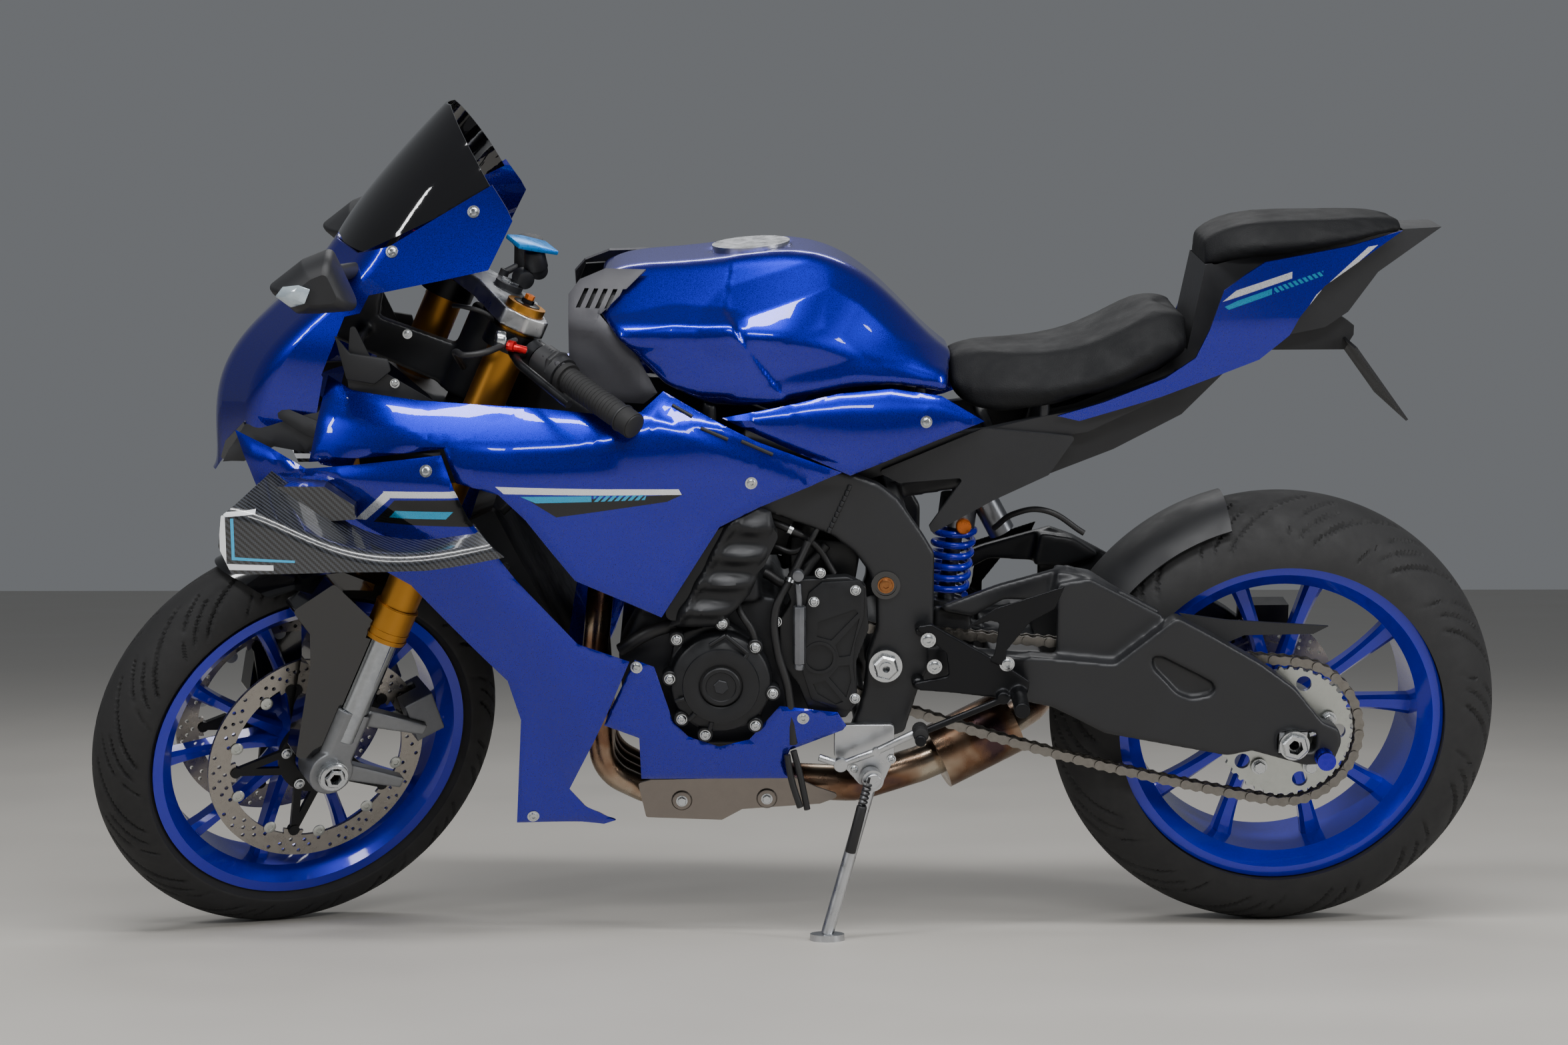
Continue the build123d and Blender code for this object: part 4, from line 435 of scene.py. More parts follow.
def plate(outline, y0, y1, bevel=1.0, segments=2):
    # an (x, z) outline in mm, extruded across from y0 to y1 with its edges broken
    obj = fromPoints("plate", [(x, y0, z) for x, z in outline], faces=[range(len(outline))])
    bpy.ops.object.mode_set(mode="EDIT")
    bpy.ops.mesh.select_all(action="SELECT")
    bpy.ops.mesh.extrude_region_move(TRANSFORM_OT_translate={"value": (0, (y1 - y0) / 1000, 0)})
    bpy.ops.object.mode_set(mode="OBJECT")
    tidied(obj)
    return edgesBroken(obj, bevel, segments) if bevel else obj


def bar(a, b, radius, sides=28, bevel=0.8, tip=None):
    # a round bar, or a taper where tip is given
    a, b = Vector(a), Vector(b)
    turn = (b - a).to_track_quat("Z", "Y").to_euler()
    only(floor)
    tip = radius if tip is None else tip
    bpy.ops.mesh.primitive_cone_add(vertices=sides, radius1=radius / 1000, radius2=tip / 1000,
                                    depth=(b - a).length / 1000, location=(a + b) / 2000, rotation=turn)
    obj = bpy.context.active_object
    only(obj)
    bpy.ops.object.transform_apply(location=True, rotation=True, scale=True)
    return edgesBroken(obj, bevel, 2, 50) if bevel else obj


def lathed(profile, centre=(0, 0, 0), axis=out, steps=48):
    # (radius, along) points in mm spun round the axis through centre
    axis = Vector(axis).normalized()
    side = axis.orthogonal().normalized()
    centre = Vector(centre)
    points = [centre + side * r + axis * s for r, s in profile]
    obj = fromPoints("lathed", points, edges=[(i, i + 1) for i in range(len(points) - 1)])
    bpy.ops.object.mode_set(mode="EDIT")
    bpy.ops.mesh.select_all(action="SELECT")
    bpy.ops.mesh.spin(steps=steps, angle=2 * pi, center=centre / 1000, axis=axis)
    bpy.ops.object.mode_set(mode="OBJECT")
    return tidied(obj)


def band(inner, outer, low, high):
    # the square profile of a washer or collar, to be lathed
    return [(inner, low), (outer, low), (outer, high), (inner, high)]


def hose(points, radius):
    # a flexible line on a smooth curve through its points
    curve = bpy.data.curves.new("hose", "CURVE")
    curve.dimensions = "3D"
    curve.bevel_depth = radius / 1000
    curve.bevel_resolution = 3
    curve.use_fill_caps = True
    curve.resolution_u = 10
    spline = curve.splines.new("BEZIER")
    spline.bezier_points.add(len(points) - 1)
    for spot, place in zip(spline.bezier_points, points):
        spot.co = Vector(place) / 1000
        spot.handle_left_type = spot.handle_right_type = "AUTO"
    obj = bpy.data.objects.new("hose", curve)
    bpy.context.scene.collection.objects.link(obj)
    only(obj)
    bpy.ops.object.convert(target="MESH")
    return tidied(bpy.context.active_object)


def placesOf(obj, what="co"):
    # each vertex's place, or its normal, as a row
    flat = np.zeros(len(obj.data.vertices) * 3)
    obj.data.vertices.foreach_get(what, flat)
    return flat.reshape(-1, 3)


def putPlaces(obj, places):
    obj.data.vertices.foreach_set("co", places.ravel())
    obj.data.update()


def joined(pieces):
    only(*pieces)
    if len(pieces) > 1:
        bpy.ops.object.join()
    return bpy.context.active_object


def copied(obj, matrix):
    twin = obj.copy()
    twin.data = obj.data.copy()
    twin.data.transform(matrix)
    bpy.context.scene.collection.objects.link(twin)
    return twin


def mirrored(obj):
    return tidied(copied(obj, sidePlanes))


def cut(obj, tool):
    applied(obj, "BOOLEAN", object=tool, operation="DIFFERENCE", solver="EXACT")
    bpy.data.objects.remove(tool)
    return obj


def poseOf(body):
    return turned if body in ("steering", "front_wheel") else parked


def bodyOf(nodeName):
    held = frame["record"]["behaviour"]["bodies"]
    return next((body for body in held if nodeName in held[body]), "root")


def mergedCopy(name):
    # a frame piece copied into the upright frame, its triangles merged
    obj = nodes[name].copy()
    obj.data = nodes[name].data.copy()
    obj.parent = None
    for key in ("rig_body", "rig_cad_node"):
        if key in obj:
            del obj[key]
    bpy.context.scene.collection.objects.link(obj)
    obj.data.transform(poseOf(bodyOf(name)).inverted())
    only(obj)
    if obj.data.has_custom_normals:
        bpy.ops.mesh.customdata_custom_splitnormals_clear()
    return tidied(obj)


def remeshed(obj, voxel, passes, factor=0.5):
    applied(obj, "REMESH", mode="VOXEL", voxel_size=voxel / 1000, adaptivity=0)
    return applied(obj, "SMOOTH", factor=factor, iterations=passes) if passes else obj


def settle(pieces, name, finishName, body="root", smooth=32, node=None, pose=None):
    # joins a piece's parts, parks it on the bike, shades it, lets it ride and stands it in for its node
    obj = joined(pieces if isinstance(pieces, list) else [pieces])
    obj.name = obj.data.name = name
    obj.data.transform(pose or poseOf(body))
    obj.data.materials.clear()
    obj.data.materials.append(finishes[finishName])
    only(obj)
    bpy.ops.object.shade_smooth_by_angle(angle=radians(smooth))
    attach(obj, body)
    if node:
        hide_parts(node)
    return obj


trees = {}


def skinHit(name, origin, aim):
    # where a line from origin to aim meets a named skin, in the upright frame
    if name not in trees:
        mesh = (nodes[name] if name in nodes else bpy.data.objects[name]).data
        trees[name] = BVHTree.FromPolygons([v.co for v in mesh.vertices], [p.vertices for p in mesh.polygons])
    place, normal = trees[name].ray_cast(parked @ (origin / 1000),
                                         (parked.to_3x3() @ (aim - origin)).normalized())[:2]
    back = parked.inverted()
    return None if place is None else (back @ place * 1000, (back.to_3x3() @ normal).normalized())


def skinAt(x, z, name, side=-1):
    # the same straight in from the rider's left or right
    return skinHit(name, Vector((x, side * 600, z)), Vector((x, 0, z)))


def cylinder(radius, depth, height):
    only(floor)
    bpy.ops.mesh.primitive_cylinder_add(vertices=6, radius=radius / 1000, depth=depth / 1000,
                                        location=(0, 0, height / 1000))
    return bpy.context.active_object


def socketHead(radius, height, flange=0.0):
    # a button-head bolt along +Z with a hexagon socket
    rim = radius + flange
    profile = [(0, 0), (rim, 0), (rim, height * 0.25), (radius, height * 0.3), (radius * 0.92, height * 0.75),
               (radius * 0.66, height), (0, height)]
    head = lathed(profile, axis=(0, 0, 1), steps=20)
    return cut(head, cylinder(radius * 0.46, height * 1.2, height * 1.1))


def hexHead(radius, height):
    head = cylinder(radius, height, height / 2)
    only(head)
    bpy.ops.object.transform_apply(location=True, rotation=True, scale=True)
    washer = lathed(band(0, radius * 1.25, -0.1, height * 0.18), axis=(0, 0, 1), steps=24)
    return joined([edgesBroken(head, 0.5, 1), washer])


def facing(y, *places):
    # spots on the rider's left at depth y
    return [(Vector((x, y, z)), out) for x, z in places]


def bolted(name, model, spots, finishName="zincSteel", body="root", smooth=40, both=False):
    # a fastener copied to (place, outward normal) spots, on both sides if asked
    if both:
        spots = spots + [(sidePlanes @ Vector(p), sidePlanes @ Vector(n)) for p, n in spots]
    made = [copied(model, Matrix.Translation(Vector(place) / 1000)
                   @ normal.to_track_quat("Z", "Y").to_matrix().to_4x4()) for place, normal in spots]
    bpy.data.objects.remove(model)
    return settle(made, name, finishName, body, smooth)

# radius at the crown, crown radius, half rim, grooves round the tyre, tread reach from the middle in mm
tyres = {"front": (frontAxle, 300.0, 60.0, 51.0, 15, 82.0), "rear": (rearAxle, 320.5, 95.0, 79.0, 14, 118.0)}


def tyreProfile(outer, crown, rimHalf):
    # from the crown down one wall to the bead, with its twin on the other side; two fine ribs on the wall
    ring = outer - crown
    points = [(ring + crown * cos(a), crown * sin(a)) for a in (radians(-86 + 172 * i / 60) for i in range(61))]
    (topR, topY), (beadR, beadY) = points[-1], (235.5, rimHalf - 3.5)
    for i in range(1, 12):
        t = i / 11
        bulge = 3.2 * sin(pi * t) + (0.9 if i in (3, 8) else 0)
        points.append((topR + (beadR - topR) * t, topY + (beadY - topY) * t + bulge * (1 - t)))
    points += [(222.4, rimHalf - 8.2), (207.6, rimHalf - 17.0)]
    half = [(min(r, outer - 0.05), y) for r, y in points]
    return [(r, -y) for r, y in reversed(half[31:])] + half[30:]


for key, (centre, outer, crown, rimHalf, grooves, treadReach) in tyres.items():
    ring = outer - crown
    profile = tyreProfile(outer, crown, rimHalf)
    tyre = lathed(profile + profile[:1], axis=(0, 1, 0), steps=640)
    place = placesOf(tyre) * 1000
    around = np.arctan2(place[:, 2], place[:, 0]) / (2 * pi) * grooves
    radius = np.hypot(place[:, 0], place[:, 2])
    lean = np.arctan2(place[:, 1], radius - ring)
    share = np.abs(lean) * crown / treadReach
    phase = around + np.where(place[:, 1] > 0, 0.5, 0.0)

    def groove(offset, curve, start, end, width):
        # a curved channel that starts near the crown and runs back to the shoulder
        middle = offset + curve * share + 0.16 * np.sin(3.0 * share)
        away = np.abs((phase - middle + 0.5) % 1.0 - 0.5) * 2 * pi * outer / grooves
        along = np.clip((share - start) / 0.06, 0, 1) * np.clip((end - share) / 0.1, 0, 1)
        return np.clip((width * (0.55 + 0.45 * np.sin(pi * np.clip(share, 0, 1))) - away) / 1.6, 0, 1) * along

    depth = np.maximum.reduce([groove(0.0, 1.25, 0.10, 0.98, 5.2), groove(0.36, 1.1, 0.34, 0.92, 3.6),
                               groove(0.70, 0.9, 0.16, 0.62, 3.4), groove(0.62, 1.0, 0.66, 1.06, 2.6)])
    depth[(radius < ring - 2) | (np.abs(lean) > radians(86))] = 0
    group = tyre.vertex_groups.new(name="grooves")
    for index in np.nonzero(depth > 0.01)[0]:
        group.add([int(index)], float(depth[index]), "REPLACE")
    applied(tyre, "DISPLACE", strength=-0.0042, mid_level=0.0, vertex_group="grooves", direction="NORMAL")
    tyre.data.transform(Matrix.Translation(centre / 1000))
    settle(tyre, key + "TyreTread", "tyreRubber", key + "_wheel", smooth=40, node=key + "_tyre")
    print(key, "tyre cut")

# brake discs: rows of holes, with every fourth place left whole
discs = {"front": (frontAxle, (136.0, 144.5, 153.0), 40, 3.0, "front_brake_discs"),
         "rear": (rearAxle, (84.0, 93.0, 102.0), 30, 2.8, "rear_brake_disc")}
for key, (centre, holeRows, count, hole, nodeName) in discs.items():
    disc = mergedCopy(nodeName)
    low, high = disc.bound_box[0][1] * 1000, disc.bound_box[6][1] * 1000
    drill = bar((0, low - 4, 0), (0, high + 4, 0), hole, sides=10, bevel=0)
    drills = []
    for row, r in enumerate(holeRows):
        for i in range(count):
            if (i + row) % 4 != 3:
                a = 2 * pi * (i + row * 0.36) / count
                drills.append(copied(drill,
                                     Matrix.Translation((centre + Vector((r * cos(a), 0, r * sin(a)))) / 1000)))
    bpy.data.objects.remove(drill)
    settle(cut(disc, joined(drills)), key + "DrilledDiscs", "discSteel", key + "_wheel", smooth=25,
           node=nodeName)
print("discs drilled")

chain = {"pitch": 15.875, "y": -114.0, "frontCentre": (-645.0, 441.5), "frontTeeth": 16, "rearTeeth": 41,
         "sag": 16.0}


def chainLine():
    # the loop's centre line as (x, z) points, close together
    frontR, rearR = (chain["pitch"] / 2 / sin(pi / chain[k]) for k in ("frontTeeth", "rearTeeth"))
    fx, fz = chain["frontCentre"]
    rx, rz = 0.0, rearAxle.z
    span, slope = hypot(rx - fx, rz - fz), atan2(rz - fz, rx - fx)
    spread = np.arcsin((rearR - frontR) / span)
    up, down = slope + pi / 2 + spread, slope - pi / 2 - spread
    points = [(rx + rearR * cos(a), rz + rearR * sin(a)) for a in np.linspace(up, down, 90)]
    low = [(fx + frontR * cos(down), fz + frontR * sin(down)), (fx + frontR * cos(up), fz + frontR * sin(up))]
    start = points[-1]
    for t in np.linspace(0, 1, 80)[1:-1]:
        points.append((start[0] + (low[0][0] - start[0]) * t,
                       start[1] + (low[0][1] - start[1]) * t - 4 * chain["sag"] * t * (1 - t)))
    points += [(fx + frontR * cos(a), fz + frontR * sin(a)) for a in np.linspace(down + 2 * pi, up, 40)]
    end = points[0]
    last = points[-1]
    for t in np.linspace(0, 1, 80)[1:-1]:
        points.append((last[0] + (end[0] - last[0]) * t, last[1] + (end[1] - last[1]) * t))
    return points + [points[0]]


line = np.array(chainLine())
runs = np.hypot(*np.diff(line, axis=0).T)
length = np.concatenate([[0], np.cumsum(runs)])
count = int(round(length[-1] / chain["pitch"] / 2)) * 2
marks = np.array([[np.interp(length[-1] * i / count, length, line[:, k]) for k in (0, 1)]
                  for i in range(count)])


def linkPlate(y, high):
    # a waisted side plate between two pins, a pitch long
    pitch, outline = chain["pitch"], []
    for start, x in ((pi / 2, 0), (-pi / 2, pitch)):
        outline += [(x + high * cos(start + pi * i / 6), high * sin(start + pi * i / 6)) for i in range(7)]
        outline.append((pitch / 2, -high * 0.72 if x == 0 else high * 0.72))
    return plate(outline, y - 1.1, y + 1.1, bevel=0)


def link(y, high, pinHalf, pinRadius):
    pins = [bar((x, -pinHalf, 0), (x, pinHalf, 0), pinRadius, sides=10, bevel=0) for x in (0, chain["pitch"])]
    return joined([linkPlate(-y, high), linkPlate(y, high)] + pins)


models = [link(7.8, 7.1, 9.0, 2.6), link(5.2, 7.4, 5.0, 4.9)]
links = []
for i in range(count):
    a, b = marks[i], marks[(i + 1) % count]
    matrix = (Matrix.Translation((a[0] / 1000, chain["y"] / 1000, a[1] / 1000))
              @ Matrix.Rotation(-atan2(b[1] - a[1], b[0] - a[0]), 4, "Y"))
    links.append(copied(models[i % 2], matrix))
for model in models:
    bpy.data.objects.remove(model)
settle(links, "rollerChain", "chainSteel", smooth=30, node="drive_chain")
print("chain laid,", count, "links")

# seats: voxel size, most swelling in mm, name
seats = {"rider_seat": (6.0, 5.0, "riderSeatCover"), "pillion_seat": (5.0, 3.0, "pillionSeatCover")}
for nodeName, (voxel, most, name) in seats.items():
    pad = mergedCopy(nodeName)
    pad.data.transform(parked)
    remeshed(pad, voxel, 0)
    rest = placesOf(pad)
    cloth = pad.modifiers.new("padding", "CLOTH")
    cloth.settings.use_pressure, cloth.settings.uniform_pressure_force = True, 4.0
    cloth.settings.quality, cloth.settings.effector_weights.gravity = 4, 0.0
    cloth.point_cache.frame_start, cloth.point_cache.frame_end = 1, 20
    for step in range(1, 21):
        bpy.context.scene.frame_set(step)
    only(pad)
    bpy.ops.object.modifier_apply(modifier="padding")
    moved = placesOf(pad) - rest
    size = np.linalg.norm(moved, axis=1, keepdims=True)
    moved *= np.minimum(1.0, most / 1000 / np.maximum(size, 1e-9))
    # the pan under the foam holds the base where it is
    lift = (np.array(parked.inverted().to_3x3()) @ rest.T)[2]
    moved *= np.clip((lift - lift.min()) / 0.02, 0.15, 1)[:, None]
    putPlaces(pad, rest + moved)
    bpy.context.scene.frame_set(1)
    applied(pad, "SMOOTH", factor=0.5, iterations=4)
    applied(pad, "SUBSURF", levels=1, render_levels=1)
    settle(pad, name, "seatVinyl", smooth=60, node=nodeName, pose=Matrix.Identity(4))
    print(nodeName, "padded")

# shaped body panels
def curveThrough(xs, ys, x):
    # a smooth curve through stations; ys may hold one row of values per station
    xs, ys = np.asarray(xs, float), np.asarray(ys, float)
    if ys.ndim == 1:
        ys = np.repeat(ys[:, None], len(x), 1)
    slopes = np.gradient(ys, xs, axis=0)
    i = np.clip(np.searchsorted(xs, x) - 1, 0, len(xs) - 2)
    n = np.arange(len(x))
    h = xs[i + 1] - xs[i]
    t = np.clip((x - xs[i]) / h, 0, 1)
    a, b, ma, mb = ys[i, n], ys[i + 1, n], slopes[i, n] * h, slopes[i + 1, n] * h
    return ((2 * t**3 - 3 * t**2 + 1) * a + (t**3 - 2 * t**2 + t) * ma + (3 * t**2 - 2 * t**3) * b
            + (t**3 - t**2) * mb)


def toRun(points, x, z):
    # signed distance in mm from an open run of points, positive on its left
    best, side = np.full(len(x), 1e9), np.ones(len(x))
    for (ax, az), (bx, bz) in zip(points, points[1:]):
        dx, dz = bx - ax, bz - az
        t = np.clip(((x - ax) * dx + (z - az) * dz) / (dx * dx + dz * dz), 0, 1)
        away = np.hypot(x - ax - t * dx, z - az - t * dz)
        turn = dx * (z - az) - dz * (x - ax)
        nearer = away < best
        best, side = np.where(nearer, away, best), np.where(nearer, np.sign(turn), side)
    return best * side


def shaped(features, x, z):
    # how far out of the base skin each point is moved, in mm
    moved = np.zeros(len(x))
    for kind, run, width, lift in features:
        if kind == "ridge":
            moved += lift * np.clip(1 - np.abs(toRun(run, x, z)) / width, 0, 1)
        elif kind == "fold":
            # everything on the left of the run leans in, a crisp line where it starts
            moved -= lift * np.clip(toRun(run, x, z) / width, 0, 1)
        elif kind == "step":
            t = np.clip(toRun(run, x, z) / width, 0, 1)
            moved -= lift * t * t * (3 - 2 * t)
        elif kind == "swell":
            (cx, cz), (rx, rz) = run
            moved += lift * np.exp(-((x - cx) / rx) ** 2 - ((z - cz) / rz) ** 2)
    return moved


def sheetPanel(outline, skin, features, step=9.0, wall=3.2, roll=(3.0, 7.0)):
    # a side panel: outline cut on a fine grid, laid on its skin, shaped, edges rolled in, then given its wall
    obj = fromPoints("panel", [(x, 0, z) for x, z in outline], faces=[range(len(outline))])
    xs, zs = [p[0] for p in outline], [p[1] for p in outline]
    bpy.ops.object.mode_set(mode="EDIT")
    bpy.ops.mesh.select_all(action="SELECT")
    bpy.ops.mesh.quads_convert_to_tris(quad_method="BEAUTY", ngon_method="BEAUTY")
    for k, (low, high) in enumerate(((min(xs), max(xs)), (min(zs), max(zs)))):
        for place in np.arange(low + step, high - step * 0.3, step):
            bpy.ops.mesh.select_all(action="SELECT")
            at = (place / 1000, 0, 0) if k == 0 else (0, 0, place / 1000)
            bpy.ops.mesh.bisect(plane_co=at, plane_no=(1, 0, 0) if k == 0 else (0, 0, 1))
    bpy.ops.object.mode_set(mode="OBJECT")
    tidied(obj, 0.2)
    place = placesOf(obj)
    x, z = place[:, 0] * 1000, place[:, 2] * 1000
    edge = np.abs(toRun(outline + outline[:1], x, z))
    t = np.clip(1 - edge / roll[1], 0, 1)
    place[:, 1] = -(skin(x, z) + shaped(features, x, z) - roll[0] * t * t) / 1000
    putPlaces(obj, place)
    # the outer face looks to the rider's left before the wall is added
    only(obj)
    if sum(p.normal.y for p in obj.data.polygons) > 0:
        obj.data.flip_normals()
    return applied(obj, "SOLIDIFY", thickness=wall / 1000, offset=-1.0)


def twoSided(obj):
    twin = copied(obj, sidePlanes)
    twin.data.flip_normals()
    return [obj, twin]


fairing = {
    "levels": (190.0, 470.0, 640.0, 770.0, 880.0),
    "stations": (-1460.0, -1300.0, -1150.0, -1000.0, -850.0, -600.0),
    "halves": ((110, 170, 178, 160, 160, 160), (130, 205, 228, 216, 206, 194), (150, 222, 246, 240, 216, 184),
               (128, 205, 232, 232, 214, 176), (70, 165, 188, 190, 180, 150)),
    "upper": [(-1323, 846), (-1289, 830), (-1195, 819), (-1054, 811), (-955, 802), (-902, 805), (-872, 828),
              (-748, 763), (-632, 715), (-743, 673), (-798, 647), (-877, 522), (-992, 580), (-1056, 667),
              (-1091, 702), (-1147, 718), (-1163, 763), (-1347, 737)],
    "lower": [(-1165, 758), (-1149, 714), (-1130, 674), (-1070, 589), (-990, 492), (-921, 464), (-953, 385),
              (-1008, 264), (-987, 237), (-945, 217), (-961, 210), (-1082, 215), (-1071, 375), (-1087, 435),
              (-1212, 576), (-1255, 600), (-1383, 646), (-1420, 700), (-1451, 772), (-1400, 755), (-1349, 733)],
    "belly": [(-949, 386), (-914, 460), (-888, 449), (-863, 366), (-842, 344), (-800, 328), (-758, 338),
              (-716, 387), (-636, 376), (-624, 356), (-629, 349), (-702, 320), (-709, 300), (-697, 276),
              (-908, 278), (-910, 342), (-958, 362)],
    "upperShape": [("fold", [(-1391, 800), (-1303, 795), (-1231, 783), (-1170, 770), (-1087, 762), (-1003, 764),
                             (-941, 773), (-888, 790), (-800, 786)], 44.0, 22.0),
                   ("swell", ((-850, 735), (120, 70)), 0, 7.0),
                   ("ridge", [(-1160, 742), (-1060, 728), (-950, 724)], 26.0, 2.5),
                   ("step", [(-660, 700), (-905, 815), (-960, 830)], 5.0, -3.0)],
    "lowerShape": [("fold", [(-987, 217), (-1033, 308), (-1094, 454), (-1176, 554), (-1268, 631),
                             (-1330, 655)][::-1],
                    70.0, -20.0),
                   ("ridge", [(-1430, 745), (-1300, 726), (-1160, 720)], 22.0, 4.0)],
    "bellyShape": [("swell", ((-820, 330), (110, 40)), 0, 5.0)],
}


def fairingSkin(x, z):
    rows = [curveThrough(fairing["stations"], row, x) for row in fairing["halves"]]
    return curveThrough(fairing["levels"], np.array(rows), z)


upperPanel = sheetPanel(fairing["upper"], fairingSkin, fairing["upperShape"])
settle(twoSided(upperPanel), "upperFairingSkins", "fairingPaint", smooth=24, node="upper_fairings")
lowerPanel = sheetPanel(fairing["lower"], fairingSkin, fairing["lowerShape"])
bellyPanel = twoSided(sheetPanel(fairing["belly"], fairingSkin, fairing["bellyShape"], step=8.0))
cut(bellyPanel[1], bar((-735, 100, 425), (-735, 260, 425), 101, sides=64, bevel=0))
settle(twoSided(lowerPanel) + bellyPanel, "lowerFairingSkins", "fairingPaint", smooth=24, node="lower_fairings")
print("fairing panels shaped")

sidePanel = {"outline": [(-793, 789), (-703, 804), (-636, 816), (-562, 819), (-493, 807), (-434, 772),
                         (-619, 705)],
             "shape": [("fold", [(-810, 780), (-620, 796), (-500, 790), (-420, 765)], 30.0, 9.0),
                       ("swell", ((-600, 760), (120, 40)), 0, 3.0)]}


def sideSkin(x, z):
    stations = (-810.0, -700.0, -600.0, -500.0, -420.0)
    low, high = (curveThrough(stations, row, x)
                 for row in ((176, 170, 158, 136, 124), (170, 162, 142, 122, 114)))
    return curveThrough((690.0, 770.0, 840.0), np.array([low, (low + high) / 2 + 6, high]), z)


panel = sheetPanel(sidePanel["outline"], sideSkin, sidePanel["shape"])
settle(twoSided(panel), "tankSideSkins", "bluePaint", smooth=24, node="tank_side_panels")

# tank
tankShape = [("step", [(-777, 1010), (-791, 932), (-762, 884), (-700, 800)], 4.0, 4.5),
                  ("ridge", [(-783, 909), (-767, 923), (-646, 954), (-604, 930), (-550, 881), (-470, 861)],
                   42.0, 5.0),
                  ("swell", ((-680, 868), (100, 30)), 0, -5.0),
                  ("ridge", [(-931, 899), (-857, 913), (-783, 909)], 26.0, 5.0),
                  ("ridge", [(-770, 800), (-699, 822), (-614, 838), (-498, 826)], 22.0, 5.0)]
body = remeshed(mergedCopy("fuel_tank"), 4.0, 14)
place, normal = placesOf(body), placesOf(body, "normal")
x, z = place[:, 0] * 1000, place[:, 2] * 1000
outwards = np.clip(np.abs(normal[:, 1]) * 1.4, 0, 1)
putPlaces(body, place + normal * (shaped(tankShape, x, z) * outwards / 1000)[:, None])
applied(body, "SMOOTH", factor=0.4, iterations=2)
settle(body, "tankShell", "bluePaint", smooth=50, node="fuel_tank")
print("tank shaped")

# grey collar ahead of the tank
collar = {"outline": [(-1000, 948), (-985, 966), (-950, 980), (-895, 980), (-957, 924), (-905, 868),
                      (-880, 822),
                      (-899, 806), (-963, 806), (-1000, 850)],
          "vents": 5, "ventStart": -990.0, "ventStep": 13.0}


def collarSkin(x, z):
    return (124 + 0.307 * (x + 1010)) * np.interp(z, (800, 905, 930, 985), (1.0, 1.0, 0.95, 0.6))


trim = sheetPanel(collar["outline"], collarSkin, [("ridge", [(-1000, 915), (-957, 905), (-900, 830)], 18.0,
                                                   4.0)],
                  step=8.0, wall=3.0)
for i in range(collar["vents"]):
    x = collar["ventStart"] + i * collar["ventStep"]
    slot = plate([(x, 932), (x + 6, 932), (x + 18, 956), (x + 12, 956)], -190, -60, bevel=0)
    cut(trim, slot)
backing = sheetPanel([(-996, 928), (-984, 960), (-930, 962), (-946, 926)], lambda x, z: collarSkin(x, z) - 9,
                     [],
                     step=12.0, wall=2.0)
settle(twoSided(trim), "tankCollar", "plasticGrey", smooth=24, node="airbox_trim")
settle(twoSided(backing) + [plate([(-1000, 850), (-1000, 905), (-960, 905), (-960, 850)], -116, 116, 3)],
       "collarBacking", "plasticBlack", smooth=24)
print("collar made")

# castings: the frame's own pieces with the radii a mould leaves
# node: (voxel mm, smoothing passes, name, finish)
castings = {"engine_block": (3.6, 8, "engineCastings", "castGrey"),
            "engine_covers": (2.0, 6, "engineCovers", "castBlack"),
            "main_frame": (3.6, 7, "frameCasting", "framePaint"),
            "swingarm": (3.2, 9, "swingarmCasting", "framePaint"),
            "fork_feet": (1.8, 7, "forkFootCastings", "footCast"),
            "front_calipers": (1.8, 6, "caliperCastings", "caliperGrey"),
            "rearsets": (1.8, 3, "rearsetForgings", "blackAluminium"),
            "stand_bracket": (1.5, 3, "standBracketCasting", "silverAluminium"),
            "top_clamp": (1.8, 4, "topClampForging", "silverAluminium")}
for nodeName, (voxel, passes, name, finishName) in castings.items():
    piece = remeshed(mergedCopy(nodeName), voxel, passes)
    applied(piece, "DECIMATE", decimate_type="COLLAPSE", ratio=0.5)
    settle(piece, name, finishName, bodyOf(nodeName), smooth=60, node=nodeName)
print("castings rounded")

# shared places
barRoot, barEnd = (onFork(669, 26, -108), Vector((-1059, -342, 866)))


def barPoint(along, side=-1):
    # a place on a handlebar, mm in from its end
    root = Vector((barRoot[0], -side * barRoot[1], barRoot[2]))
    end = Vector((barEnd.x, -side * barEnd.y, barEnd.z))
    return end + (root - end).normalized() * along


# panel screws
screws = {"upperFairingSkins": [(-755, 708)], "tankSideSkins": [(-515, 775)],
          "lowerFairingSkins": [(-1185, 738), (-912, 450), (-684, 369), (-1059, 225)],
          "nose_cowl": [(-1232, 1013), (-1122, 1066)]}
spots = [skinAt(x, z, name) for name, places in screws.items() for x, z in places]
bolted("panelScrews", socketHead(6.0, 4.2, 2.4), spots, both=True)

# generator and sprocket covers
generator = {"centre": (-797, -205, 422), "bolts": [(-857, 486), (-795, 508), (-750, 474), (-867, 430),
                                                    (-851, 372),
                                                    (-819, 349), (-750, 362), (-726, 408)]}
cx, cy, cz = generator["centre"]
rings = [lathed([(0, 0), (27, 0), (27, 3.0), (25.5, 4.2), (21, 4.2), (20, 2.6), (0, 2.6)], (cx, cy - 3, cz)),
         lathed([(30, -3), (50, -3), (53, 0.5), (52, 3.2), (48, 4.2), (34, 4.2), (30, 2.0)],
                (cx, cy - 1.5, cz))]
for i in range(3):
    a = radians(200 + 28 * i)
    rings.append(bar((cx + 52 * cos(a), cy - 2, cz + 52 * sin(a)),
                     (cx + 66 * cos(a), cy + 4, cz + 66 * sin(a)), 3.2))
for x, z in generator["bolts"]:
    rings.append(lathed([(0, -24), (10.5, -24), (10.5, 0), (9.5, 1.2), (0, 1.2)], (x, -196, z), steps=24))
